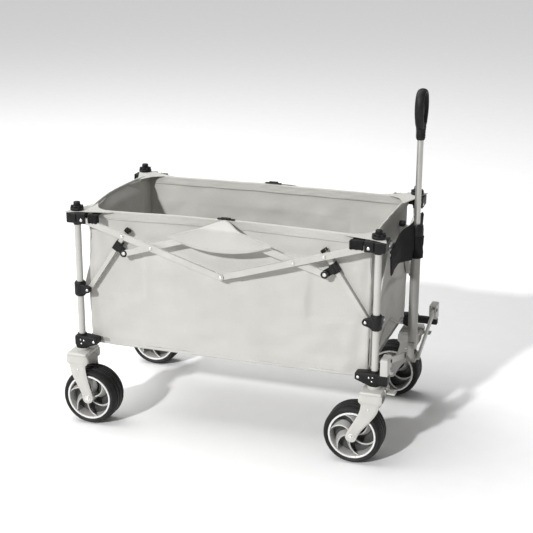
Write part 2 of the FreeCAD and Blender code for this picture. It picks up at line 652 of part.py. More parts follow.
def fabric_tub():
    name = "fabric_tub"
    far = [f"post_{axis} / 2 - tub_inset" for axis in "xy"]
    near = [f"{text} - tub_wall" for text in far]
    outside = block(name + "_outside", (f"-({far[0]})", far[0]), (f"-({far[1]})", far[1]),
                    ("tub_low", "tub_top"))
    inside = block(name + "_inside", (f"-({near[0]})", near[0]), (f"-({near[1]})", near[1]),
                   ("tub_low + tub_wall", "2 * tub_top"))
    node(name, cut(name + "_solid", outside, inside), at=("-middle_x", "0", "0"))


def floor_board():
    """Stiff panels side by side in the bottom of the tub."""
    name = "floor_board"
    half_x = "(post_x / 2 - tub_inset - tub_wall - board_play)"
    half_y = "(post_y / 2 - tub_inset - tub_wall - board_play)"
    panels = []
    for number in range(PANELS):
        low = f"-{half_x} + {number} * 2 * {half_x} / {PANELS} + board_gap / 2"
        high = f"-{half_x} + {number + 1} * 2 * {half_x} / {PANELS} - board_gap / 2"
        panels.append(block(f"{name}_{number}", (low, high), (f"-{half_y}", half_y),
                            ("tub_low + tub_wall + play", "tub_low + tub_wall + play + board_thick")))
    node(name, *panels, at=("-middle_x", "0", "0"))


fill_sheet()
for corner in CORNERS:
    side_frame, end_frame = Frame(corner, "x"), Frame(corner, "y")
    post(corner)
    top_corner(corner)
    base_corner(corner)
    collar(corner)
    scissor_bar("side_bar_" + corner, side_frame, "side_bar", True)
    cross_bar("side_cross_bar_" + corner, side_frame)
    brace("side_brace_" + corner, side_frame)
    clip("side_clip_" + corner, side_frame)
    bottom_rail(corner)
    scissor_bar("end_bar_" + corner, end_frame, "end_bar", False)
    brace("end_brace_" + corner, end_frame)
    wheel(corner)
    if corner.startswith("front"):
        fork(corner)
        brake_pedal(corner)
        tow_link(corner)
handle_knuckle()
handle_outer_tube()
handle_inner_tube()
handle_grip()
fabric_tub()
floor_board()
doc.recompute()

for thing in doc.Objects:
    if "Invalid" in thing.State or "Error" in thing.State:
        raise RuntimeError(f"{thing.Label} failed: {thing.State}")
for thing in NODES:
    if thing.Shape.isNull() or not thing.Shape.isValid() or not thing.Shape.Solids:
        raise RuntimeError(f"{thing.Label} has no valid shape")

os.makedirs("parts", exist_ok=True)
for thing in NODES:
    thing.Shape.exportStep(f"parts/{thing.Label}.step")
print(len(NODES), "nodes written")
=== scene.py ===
import math

import bmesh
import bpy
from mathutils import Matrix, Vector, noise


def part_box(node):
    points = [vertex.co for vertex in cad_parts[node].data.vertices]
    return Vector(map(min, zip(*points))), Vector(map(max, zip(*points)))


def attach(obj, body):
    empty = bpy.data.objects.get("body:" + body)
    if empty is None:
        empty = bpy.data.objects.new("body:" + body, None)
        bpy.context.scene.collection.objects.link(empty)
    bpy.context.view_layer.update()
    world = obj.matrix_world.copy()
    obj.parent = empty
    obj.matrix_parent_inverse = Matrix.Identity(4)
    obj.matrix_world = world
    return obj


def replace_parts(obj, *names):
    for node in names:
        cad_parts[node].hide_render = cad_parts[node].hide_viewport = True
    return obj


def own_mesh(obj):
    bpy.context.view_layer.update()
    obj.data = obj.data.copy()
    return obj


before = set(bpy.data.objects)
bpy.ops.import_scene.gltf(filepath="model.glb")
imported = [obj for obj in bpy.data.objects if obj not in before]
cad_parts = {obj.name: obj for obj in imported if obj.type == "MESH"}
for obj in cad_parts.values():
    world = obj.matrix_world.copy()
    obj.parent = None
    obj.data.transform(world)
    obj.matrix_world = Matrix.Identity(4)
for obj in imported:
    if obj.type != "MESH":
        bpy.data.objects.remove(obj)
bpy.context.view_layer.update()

# A folding wagon: fabric tub in a scissor frame, four wide wheels, and a pull handle at the front.
# Metres. +X is the handle end, -Y the near long side, Z up.

CORNERS = {"rear_right": (-1, -1), "front_right": (1, -1), "front_left": (1, 1), "rear_left": (-1, 1)}
ORIGIN = Vector((0, 0, 0))


def middle(node):
    low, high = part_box(node)
    return (low + high) / 2


POST = {corner: middle("post_" + corner) for corner in CORNERS}
PIVOT_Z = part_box("top_corner_rear_right")[0].z + 0.010
COLLAR_Z = middle("collar_rear_right").z
BASE_Z = middle("bottom_rail_rear_right").z
AXLE_Z = middle("wheel_rear_right").z
MID_X = (POST["rear_right"].x + POST["front_right"].x) / 2
HALF_X = (POST["front_right"].x - POST["rear_right"].x) / 2
HALF_Y = POST["front_left"].y
TUB_LOW, TUB_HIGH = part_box("fabric_tub")
HANDLE_X = middle("handle_outer_tube").x
PIVOT_IN = 0.022
BRACE_REACH = 0.125
SLOPE = math.radians(17)
RIM_Z = PIVOT_Z + 0.021


# ---------------------------------------------------------------- finishes

def settle(node, **values):
    """Sets a node's sockets by name."""
    for socket, value in values.items():
        node.inputs[socket].default_value = value


def new_finish(name, colour, rough, metal=0.0):
    """An empty finish: its shader, its node tree and a place to put patterns on."""
    finish = bpy.data.materials.new(name)
    finish.use_nodes = True
    finish.diffuse_color = (*colour, 1)
    tree = finish.node_tree
    shader = tree.nodes["Principled BSDF"]
    shader.inputs["Base Color"].default_value = (*colour, 1)
    settle(shader, Roughness=rough, Metallic=metal)
    place = tree.nodes.new("ShaderNodeTexCoord")
    return finish, tree, shader, place


def speckle(tree, source, scale, detail=4, rough=0.6):
    cloud = tree.nodes.new("ShaderNodeTexNoise")
    settle(cloud, Scale=scale, Detail=detail, Roughness=rough)
    tree.links.new(source, cloud.inputs["Vector"])
    return cloud.outputs["Fac"]


def ramp(tree, source, low, high, dark, light):
    """A colour ramp from dark to light between two values."""
    band = tree.nodes.new("ShaderNodeValToRGB")
    band.color_ramp.elements[0].position = low
    band.color_ramp.elements[1].position = high
    band.color_ramp.elements[0].color = (*dark, 1)
    band.color_ramp.elements[1].color = (*light, 1)
    tree.links.new(source, band.inputs["Fac"])
    return band.outputs["Color"]


def map_range(tree, source, low, high, start=0.0, end=1.0):
    span = tree.nodes.new("ShaderNodeMapRange")
    for socket, value in zip(("From Min", "From Max", "To Min", "To Max"), (start, end, low, high)):
        span.inputs[socket].default_value = value
    tree.links.new(source, span.inputs["Value"])
    return span.outputs["Result"]


def raise_by(tree, shader, height, distance, strength=1.0):
    bump = tree.nodes.new("ShaderNodeBump")
    settle(bump, Distance=distance, Strength=strength)
    tree.links.new(height, bump.inputs["Height"])
    tree.links.new(bump.outputs["Normal"], shader.inputs["Normal"])


def mixed(tree, first, second, share):
    mix = tree.nodes.new("ShaderNodeMix")
    mix.data_type = "RGBA"
    mix.inputs["Factor"].default_value = share
    tree.links.new(first, mix.inputs["A"])
    tree.links.new(second, mix.inputs["B"])
    return mix.outputs["Result"]


def moulded_finish(name, dark, light, rough, grain=900, depth=0.00012):
    """Moulded plastic or rubber: a cloudy shade, a fine grain and uneven gloss."""
    finish, tree, shader, place = new_finish(name, light, rough)
    shader.inputs["Specular IOR Level"].default_value = 0.22
    where = place.outputs["Object"]
    tree.links.new(ramp(tree, speckle(tree, where, 55), 0.35, 0.7, dark, light),
                   shader.inputs["Base Color"])
    tree.links.new(map_range(tree, speckle(tree, where, 160), rough - 0.08, rough + 0.1),
                   shader.inputs["Roughness"])
    raise_by(tree, shader, speckle(tree, where, grain, 2), depth)
    return finish


def painted_finish(name, dark, light, rough, metal, grain=700, depth=0.00008):
    """Powder coat over steel: faint orange peel, and a slightly uneven shade."""
    finish, tree, shader, place = new_finish(name, light, rough, metal)
    where = place.outputs["Object"]
    tree.links.new(ramp(tree, speckle(tree, where, 14, 6), 0.3, 0.72, dark, light),
                   shader.inputs["Base Color"])
    tree.links.new(map_range(tree, speckle(tree, where, 90), rough - 0.07, rough + 0.08),
                   shader.inputs["Roughness"])
    raise_by(tree, shader, speckle(tree, where, grain, 3), depth)
    return finish


def drawn_metal(name, colour, rough, stretch):
    """Bare metal with marks drawn out along its length."""
    finish, tree, shader, place = new_finish(name, colour, rough, 1.0)
    turn = tree.nodes.new("ShaderNodeMapping")
    turn.inputs["Scale"].default_value = stretch
    tree.links.new(place.outputs["Object"], turn.inputs["Vector"])
    marks = speckle(tree, turn.outputs["Vector"], 60, 5)
    tree.links.new(map_range(tree, marks, rough - 0.1, rough + 0.15), shader.inputs["Roughness"])
    dark = tuple(0.8 * part for part in colour)
    tree.links.new(ramp(tree, marks, 0.3, 0.7, dark, colour), shader.inputs["Base Color"])
    return finish


def woven_finish(name, dark, light, rough, thread, depth, sheen, cloud=7):
    """Plain weave: warp and weft over the piece's own UV, in metres, and soft clouds of shade."""
    finish, tree, shader, place = new_finish(name, light, rough)
    shader.inputs["Specular IOR Level"].default_value = 0.2
    shader.inputs["Sheen Weight"].default_value = sheen
    shader.inputs["Sheen Roughness"].default_value = 0.5
    threads = []
    for way in ("X", "Y"):
        wave = tree.nodes.new("ShaderNodeTexWave")
        wave.wave_type = "BANDS"
        wave.bands_direction = way
        settle(wave, Scale=math.tau / 20 / thread, Distortion=0.6, Detail=1)
        tree.links.new(place.outputs["UV"], wave.inputs["Vector"])
        threads.append(wave.outputs["Color"])
    weave = mixed(tree, threads[0], threads[1], 0.5)
    clouds = ramp(tree, speckle(tree, place.outputs["Object"], cloud, 6), 0.3, 0.72, dark, light)
    slubs = ramp(tree, speckle(tree, place.outputs["Object"], 420, 3), 0.3, 0.75, dark, light)
    tree.links.new(mixed(tree, clouds, slubs, 0.35), shader.inputs["Base Color"])
    raise_by(tree, shader, weave, depth)
    return finish


FABRIC = woven_finish("tub_canvas", (0.440, 0.434, 0.408), (0.520, 0.513, 0.485),
                      0.82, 0.0011, 0.00022, 0.12)
HEM = woven_finish("hem_canvas", (0.430, 0.424, 0.398), (0.510, 0.503, 0.475),
                   0.80, 0.0011, 0.00022, 0.12)
WEBBING = woven_finish("black_webbing", (0.004, 0.004, 0.004), (0.012, 0.011, 0.011),
                       0.8, 0.0016, 0.0005, 0.02, 30)
THREAD = moulded_finish("stitch_thread", (0.36, 0.355, 0.33), (0.50, 0.49, 0.46), 0.7, 1500, 0.0001)
# Floor panels darker than the walls: painted shade for the shadowed floor inside the tub.
PAINTED_SHADE_PANEL = woven_finish("floor_panel_canvas_painted_shade", (0.34, 0.335, 0.31), (0.43, 0.425, 0.40),
                     0.85, 0.0012, 0.00025, 0.1)
PAINT = painted_finish("frame_paint", (0.420, 0.414, 0.388), (0.490, 0.483, 0.455), 0.42, 0.0)
# Darker grey than the frame for the handle's tube and knuckle and the bottom rails; part of that darkness
# is painted shade for parts that stand out of the light.
DARK_PAINT_AND_SHADE = painted_finish("dark_grey_paint_and_painted_shade", (0.250, 0.245, 0.228), (0.320, 0.312, 0.292), 0.38, 0.3)
ROD = drawn_metal("handle_rod_metal", (0.62, 0.61, 0.58), 0.36, (4, 4, 0.3))
BLACK = moulded_finish("black_nylon", (0.006, 0.006, 0.006), (0.013, 0.013, 0.013), 0.46)
KNOB = moulded_finish("black_knob", (0.006, 0.006, 0.007), (0.014, 0.013, 0.014), 0.40, 600)
GRIP = moulded_finish("grip_rubber", (0.007, 0.007, 0.007), (0.015, 0.015, 0.015), 0.52, 1200, 0.0002)
TYRE = moulded_finish("tyre_rubber", (0.008, 0.008, 0.008), (0.018, 0.017, 0.017), 0.55, 800, 0.0002)
RIM = painted_finish("wheel_grey", (0.400, 0.397, 0.385), (0.490, 0.486, 0.472), 0.36, 0.2)
# Near-black disc between the wheel's blades: painted shade for the dark gaps through the wheel.
PAINTED_SHADE_WEB = painted_finish("wheel_web_painted_shade", (0.045, 0.045, 0.044), (0.070, 0.069, 0.067), 0.45, 0.0)
RING = painted_finish("wheel_ring", (0.66, 0.655, 0.64), (0.76, 0.755, 0.74), 0.28, 0.3)
RIVET = drawn_metal("rivet_zinc", (0.78, 0.77, 0.75), 0.26, (1, 1, 1))


# ---------------------------------------------------------------- mesh tools

def merge(bm, within):
    bmesh.ops.remove_doubles(bm, verts=bm.verts, dist=within)


def face_outward(bm):
    bmesh.ops.recalc_face_normals(bm, faces=bm.faces)


def block(bm, low, high, edge=0.0, steps=3):
    """A box between two corners, its edges rounded."""
    low, high = Vector(low), Vector(high)
    made = bmesh.ops.create_cube(bm, size=1)["verts"]
    bmesh.ops.scale(bm, vec=high - low, verts=made)
    bmesh.ops.translate(bm, vec=(low + high) / 2, verts=made)
    if edge:
        edges = list({line for vert in made for line in vert.link_edges})
        bmesh.ops.bevel(bm, geom=edges, offset=edge, segments=steps, profile=0.5, affect="EDGES",
                        material=-1)
    return made


def stand(bm, verts, way, place):
    """Turns a shape drawn along Z to lie along a direction, and moves it to its place."""
    turn = Vector((0, 0, 1)).rotation_difference(way).to_matrix()
    bmesh.ops.rotate(bm, cent=ORIGIN, matrix=turn, verts=verts)
    bmesh.ops.translate(bm, vec=place, verts=verts)


def drum(bm, radius, start, end, edge=0.0, sides=32, top=None):
    """A round bar along an axis from one point to another, with its two ends rounded."""
    start, end = Vector(start), Vector(end)
    made = bmesh.ops.create_cone(bm, cap_ends=True, segments=sides, radius1=radius,
                                 radius2=radius if top is None else top,
                                 depth=(end - start).length)["verts"]
    stand(bm, made, end - start, (start + end) / 2)
    if edge:
        caps = {face for vert in made for face in vert.link_faces if len(face.verts) == sides}
        edges = list({line for face in caps for line in face.edges})
        bmesh.ops.bevel(bm, geom=edges, offset=edge, segments=3, profile=0.5, affect="EDGES", material=-1)
    return made


def dome(bm, centre, way, radius, height):
    """A rivet head: a low dome on a flat base."""
    made = bmesh.ops.create_uvsphere(bm, u_segments=20, v_segments=10, radius=radius)["verts"]
    for vert in made:
        vert.co.z = max(vert.co.z, 0) * height / radius
    stand(bm, made, Vector(way), Vector(centre))
    bmesh.ops.remove_doubles(bm, verts=made, dist=1e-6)


def lathe(bm, profile, centre, axis, steps=72):
    """A closed outline of (distance from the axis, place along it) spun right round."""
    axis = Vector(axis)
    out = Vector((0, 0, 1)) if abs(axis.z) < 0.5 else Vector((1, 0, 0))
    ring = [bm.verts.new(Vector(centre) + out * far + axis * along) for far, along in profile]
    edges = [bm.edges.new((ring[number - 1], ring[number])) for number in range(len(ring))]
    bmesh.ops.spin(bm, geom=ring + edges, cent=centre, axis=axis, angle=math.tau, steps=steps,
                   use_merge=True, use_duplicate=False)
    merge(bm, 1e-6)
    face_outward(bm)


def surface(bm, across, down, shape, size=None):
    """A grid whose points go where shape(s, t) says, with its UV in metres."""
    uv = bm.loops.layers.uv.verify()
    made = bmesh.ops.create_grid(bm, x_segments=across, y_segments=down, size=0.5)["verts"]
    share = {vert: (vert.co.x + 0.5, vert.co.y + 0.5) for vert in made}
    width, height = size or (1.0, 1.0)
    for face in {face for vert in made for face in vert.link_faces}:
        for loop in face.loops:
            s, t = share[loop.vert]
            loop[uv].uv = (s * width, t * height)
    for vert, (s, t) in share.items():
        vert.co = shape(s, t)
    return made


def to_corner(bm, corner):
    """Moves a shape drawn at a corner, with x and y running inboard from its post, to where it goes."""
    x_sign, y_sign = CORNERS[corner]
    post = POST[corner]
    for vert in bm.verts:
        vert.co = Vector((post.x - x_sign * vert.co.x, post.y - y_sign * vert.co.y, vert.co.z))
    if x_sign * y_sign < 0:
        bmesh.ops.reverse_faces(bm, faces=bm.faces)


def piece(name, bm, finish, body, smooth=35, wall=0.0, bevel=0.0, level=0, offset=0.0):
    """Makes the object, smooths what is round, thickens or bevels it, and joins it to its body."""
    limit = math.radians(smooth)
    for face in bm.faces:
        face.smooth = True
    for edge in bm.edges:
        edge.smooth = len(edge.link_faces) != 2 or edge.calc_face_angle(0) < limit
    mesh = bpy.data.meshes.new(name)
    bm.to_mesh(mesh)
    bm.free()
    thing = bpy.data.objects.new(name, mesh)
    bpy.context.scene.collection.objects.link(thing)
    mesh.materials.append(finish)
    if wall:
        thick = thing.modifiers.new("Wall", "SOLIDIFY")
        thick.thickness = wall
        thick.offset = offset
        thick.use_even_offset = True
    if bevel:
        rounding = thing.modifiers.new("Edges", "BEVEL")
        rounding.width = bevel
        rounding.segments = 2
        rounding.limit_method = "ANGLE"
        rounding.angle_limit = math.radians(40)
        rounding.harden_normals = True
    if level:
        finer = thing.modifiers.new("Finer", "SUBSURF")
        finer.levels = finer.render_levels = level
    if body:
        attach(thing, body)
    return thing


def carried(node, finish, body, bevel=0.0009):
    """The CAD node with its edges softened."""
    bm = bmesh.new()
    bm.from_mesh(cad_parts[node].data)
    merge(bm, 1e-6)
    bmesh.ops.dissolve_limit(bm, angle_limit=math.radians(0.6), verts=bm.verts, edges=bm.edges)
    thing = piece(node + "_shape", bm, finish, body, smooth=32, bevel=bevel)
    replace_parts(thing, node)
    return thing


# ---------------------------------------------------------------- frame corners

def on_both_sides(bm, draw):
    """Draws a part on the long side of a corner, and its mirror image on the short side."""
    for swapped in (False, True):
        old = set(bm.verts)
        draw(bm)
        if swapped:
            new = [vert for vert in bm.verts if vert not in old]
            for vert in new:
                vert.co = Vector((vert.co.y, vert.co.x, vert.co.z))
            bmesh.ops.reverse_faces(bm, faces=list({face for vert in new for face in vert.link_faces}))


def hull(bm, *draws):
    """One convex skin round several simple shapes."""
    old = set(bm.verts)
    for draw in draws:
        draw(bm)
    new = [vert for vert in bm.verts if vert not in old]
    made = bmesh.ops.convex_hull(bm, input=new, use_existing_faces=False)
    inside = [part for part in made["geom_interior"] + made["geom_unused"]
              if isinstance(part, bmesh.types.BMVert)]
    bmesh.ops.delete(bm, geom=inside, context="VERTS")
    left = [vert for vert in bm.verts if vert not in old]
    old_faces = {face for vert in left for face in vert.link_faces
                 if not any(part == face for part in made["geom"])}
    bmesh.ops.delete(bm, geom=list(old_faces), context="FACES_ONLY")
    edges = list({edge for vert in left for edge in vert.link_edges})
    bmesh.ops.dissolve_limit(bm, angle_limit=0.02, verts=left, edges=edges)
    skin = list({face for vert in left if vert.is_valid for face in vert.link_faces})
    bmesh.ops.recalc_face_normals(bm, faces=skin)


CORNER_OUT = -0.0235
TOW_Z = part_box("tow_link_right")[1].z - 0.0085
SLOT_OUT, SLOT_IN = -0.0190, -0.0098


def top_corner(corner):
    """Black moulded corner: two slotted arms on a rounded block, rivets, and a knob on the fabric."""
    body = "frame_" + corner
    low, high = PIVOT_Z - 0.0105, PIVOT_Z + 0.0195

    def arm(bm):
        for v_low, v_high in ((CORNER_OUT, SLOT_OUT), (SLOT_IN, -0.0012)):
            block(bm, (0.004, v_low, low), (0.0335, v_high, high), 0.0016)
        block(bm, (0.004, CORNER_OUT + 0.001, PIVOT_Z + 0.0105), (0.0325, -0.0022, high - 0.0003), 0.0012)

    bm = bmesh.new()
    block(bm, (CORNER_OUT, CORNER_OUT, low), (0.0120, 0.0120, high), 0.0035)
    on_both_sides(bm, arm)
    drum(bm, 0.0116, (0, 0, low - 0.008), (0, 0, low + 0.004), 0.0012)
    to_corner(bm, corner)
    thing = piece("corner_block_" + corner, bm, BLACK, body)
    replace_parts(thing, "top_corner_" + corner)

    bm = bmesh.new()
    rivet_at = (PIVOT_IN, CORNER_OUT + 0.0002, PIVOT_Z)
    on_both_sides(bm, lambda bm: dome(bm, rivet_at, (0, -1, 0), 0.0046, 0.0018))
    to_corner(bm, corner)
    piece("corner_rivets_" + corner, bm, RIVET, body)

    bm = bmesh.new()
    base = RIM_Z + 0.0022
    lathe(bm, [(0.0, base), (0.0180, base), (0.0190, base + 0.0015), (0.0190, base + 0.0055),
               (0.0168, base + 0.0080), (0.0, base + 0.0080)], ORIGIN, (0, 0, 1), 48)
    for turn in range(8):
        angle = math.tau * turn / 8
        x, y = Vector((math.cos(angle), math.sin(angle))) * 0.0150
        drum(bm, 0.0036, (x, y, base + 0.001), (x, y, base + 0.0125), 0.001, 14)
    drum(bm, 0.0138, (0, 0, base + 0.005), (0, 0, base + 0.0135), 0.0018)
    drum(bm, 0.0096, (0, 0, base + 0.012), (0, 0, base + 0.0235), 0.0022)
    to_corner(bm, corner)
    piece("corner_knob_" + corner, bm, KNOB, body)


def collar(corner):
    """A drop-shaped sliding collar with an ear for each brace."""
    def drop(bm):
        outer, inner = -0.0142, -0.0010
        hull(bm,
             lambda bm: block(bm, (-0.004, outer, COLLAR_Z - 0.0175), (0.006, inner, COLLAR_Z + 0.0175),
                              0.003, 2),
             lambda bm: drum(bm, 0.0095, (0.027, outer, COLLAR_Z), (0.027, inner, COLLAR_Z), 0.0018, 24))
        drum(bm, 0.0058, (0.027, -0.002, COLLAR_Z), (0.027, 0.0032, COLLAR_Z), 0, 20)

    bm = bmesh.new()
    drum(bm, 0.0163, (0, 0, COLLAR_Z - 0.019), (0, 0, COLLAR_Z + 0.019), 0.003, 40)
    drum(bm, 0.0135, (0, 0, COLLAR_Z - 0.0215), (0, 0, COLLAR_Z + 0.0215), 0.0012, 40)
    on_both_sides(bm, drop)
    to_corner(bm, corner)
    thing = piece("collar_body_" + corner, bm, BLACK, "collar_" + corner)
    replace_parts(thing, "collar_" + corner)
    bm = bmesh.new()
    on_both_sides(bm, lambda bm: dome(bm, (0.027, -0.0140, COLLAR_Z), (0, -1, 0), 0.0042, 0.0018))
    to_corner(bm, corner)
    piece("collar_rivets_" + corner, bm, RIVET, "collar_" + corner)


def base_corner(corner):
    """A boat-shaped black corner under the post. A front one carries the tow link's grey block."""
    body = "frame_" + corner
    rail = [abs(point.y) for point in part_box("bottom_rail_" + corner)]
    pin_u, pin_end = 0.042, HALF_Y - min(rail) + 0.0012
    bm = bmesh.new()
    keel = BASE_Z - 0.0105
    hull(bm,
         lambda bm: block(bm, (-0.0170, -0.0170, BASE_Z - 0.009), (0.0170, 0.0165, BASE_Z + 0.019),
                          0.004, 2),
         lambda bm: block(bm, (0.036, -0.0168, BASE_Z - 0.004), (0.0515, 0.0160, BASE_Z + 0.0155),
                          0.003, 2),
         lambda bm: drum(bm, 0.0115, (-0.002, -0.0165, keel), (-0.002, 0.0160, keel), 0.002, 24))
    drum(bm, 0.0135, (0, 0, BASE_Z + 0.010), (0, 0, BASE_Z + 0.0235), 0.0015, 36)
    drum(bm, 0.0030, (pin_u, 0.012, BASE_Z), (pin_u, pin_end, BASE_Z), 0, 16)
    drum(bm, 0.0055, (pin_u, pin_end - 0.001, BASE_Z), (pin_u, pin_end, BASE_Z), 0.0003, 20)
    if corner.startswith("front"):
        if corner == "front_right":
            block(bm, (-0.0383, -0.0168, BASE_Z - 0.014), (0.0, 0.0118, BASE_Z + 0.0165), 0.003)
        else:
            block(bm, (-0.0763, -0.0110, BASE_Z - 0.006), (0.0, 0.0090, BASE_Z + 0.0135), 0.003)
    to_corner(bm, corner)
    thing = piece("base_hull_" + corner, bm, BLACK, body)
    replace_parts(thing, "base_corner_" + corner)

    bm = bmesh.new()
    spots = [(pin_u, 0.004), (0.012, 0.006), (0.002, 0.0075), (0.004, -0.004)]
    for u, z in spots:
        dome(bm, (u, -0.0168, BASE_Z + z), (0, -1, 0), 0.0042 if u == pin_u else 0.0026, 0.0015)
    to_corner(bm, corner)
    piece("base_rivets_" + corner, bm, RIVET, body)

    if corner.startswith("front"):
        near, far = (-0.0345, -0.0275) if corner == "front_right" else (-0.0725, -0.0655)
        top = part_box("tow_link_right")[1].z + 0.006
        bm = bmesh.new()
        back = far + 0.0103
        block(bm, (near - 0.0038, -0.0165, BASE_Z + 0.0125), (back, 0.0120, top), 0.0025)
        block(bm, (near - 0.0038, 0.008, BASE_Z + 0.026), (near, 0.0312, top), 0.0015)
        block(bm, (far, 0.008, BASE_Z + 0.026), (back - 0.0002, 0.0312, top), 0.0015)
        block(bm, (near - 0.0036, 0.010, top - 0.0042), (back - 0.0004, 0.0308, top - 0.0002), 0.0012)
        to_corner(bm, corner)
        piece("tow_block_" + corner, bm, PAINT, body)
        bm = bmesh.new()
        drum(bm, 0.0052, (near - 0.0062, 0.022, TOW_Z), (near - 0.0034, 0.022, TOW_Z), 0.0012, 6)
        drum(bm, 0.0028, (near - 0.0040, 0.022, TOW_Z), (back, 0.022, TOW_Z), 0, 16)
        to_corner(bm, corner)
        piece("tow_bolt_" + corner, bm, KNOB, body)


# ---------------------------------------------------------------- linkage

def side_point(corner, along, u, v, z):
    """A world point from a corner's post: u inboard along a side, v inwards across it."""
    x_sign, y_sign = CORNERS[corner]
    x, y = (u, v) if along == "x" else (v, u)
    return Vector((POST[corner].x - x_sign * x, POST[corner].y - y_sign * y, z))


def outward(corner, along):
    x_sign, y_sign = CORNERS[corner]
    return Vector((0, y_sign, 0)) if along == "x" else Vector((x_sign, 0, 0))


def linkage(corner):
    """The bars and braces with softened edges, black caps and shoes, and bright rivets."""
    brace_u = PIVOT_IN + BRACE_REACH * math.cos(SLOPE)
    brace_z = PIVOT_Z - BRACE_REACH * math.sin(SLOPE)
    tilt = math.radians(33.9)
    for along, side in (("x", "side"), ("y", "end")):
        half = HALF_X if along == "x" else HALF_Y
        way = outward(corner, along)
        bar, brace = f"{side}_bar_{corner}", f"{side}_brace_{corner}"
        carried(bar, PAINT, bar)
        carried(brace, PAINT, brace)
        bm = bmesh.new()
        dome(bm, side_point(corner, along, brace_u, -0.0190, brace_z), way, 0.0052, 0.0026)
        piece("brace_rivet_" + brace, bm, RIVET, brace)

        bm = bmesh.new()
        block(bm, (-0.0083, 0.0016, 0.0066), (0.0083, 0.0184, 0.0166), 0.0018)
        place_tilted(bm, corner, along, brace_u, brace_z, tilt)
        piece("cap_" + brace, bm, BLACK, brace)

        if corner in ("rear_right", "rear_left") if along == "x" else corner.endswith("right"):
            bm = bmesh.new()
            low_z = PIVOT_Z - (half - PIVOT_IN) * math.tan(SLOPE)
            dome(bm, side_point(corner, along, half, -0.0186, low_z), way, 0.0054, 0.0026)
            piece("middle_rivet_" + bar, bm, RIVET, bar)
        if along == "x":
            cross_u = PIVOT_IN + (half - PIVOT_IN) / 2
            cross_z = PIVOT_Z - (half - PIVOT_IN) / 2 * math.tan(SLOPE)
            bm = bmesh.new()
            dome(bm, side_point(corner, along, cross_u, -0.0186, cross_z), way, 0.0046, 0.0022)
            piece("cross_rivet_" + bar, bm, RIVET, bar)
            cross = "side_cross_bar_" + corner
            carried(cross, PAINT, cross)
            tail = (half - PIVOT_IN) / math.cos(SLOPE) / 2 - BRACE_REACH
            shoe = (cross_u - tail * math.cos(SLOPE), cross_z - tail * math.sin(SLOPE))
            bm = bmesh.new()
            a = side_point(corner, along, shoe[0], -0.0099, shoe[1])
            b = side_point(corner, along, shoe[0], -0.0013, shoe[1])
            drum(bm, 0.0110, a, b, 0.0015, 28)
            piece("shoe_" + cross, bm, BLACK, cross)
            bm = bmesh.new()
            dome(bm, a - way * 0.0002, way, 0.0040, 0.0010)
            piece("shoe_rivet_" + cross, bm, RIVET, cross)
            clip = "side_clip_" + corner
            carried(clip, BLACK, clip, 0.0022)
            # The bottom rail takes the darker grey that also carries painted shade.
            rail = "bottom_rail_" + corner
            carried(rail, DARK_PAINT_AND_SHADE, rail)
    carried("post_" + corner, PAINT, "frame_" + corner, 0.0006)


def place_tilted(bm, corner, along, u, z, tilt):
    """Puts a shape drawn in a brace's own upright frame (x along the side, y inwards) on that brace."""
    bmesh.ops.rotate(bm, cent=ORIGIN, matrix=Matrix.Rotation(tilt, 3, "Y"), verts=bm.verts)
    for vert in bm.verts:
        x, y, rise = vert.co
        vert.co = side_point(corner, along, u + x, y, z + rise)
    face_outward(bm)


# ---------------------------------------------------------------- casters and wheels

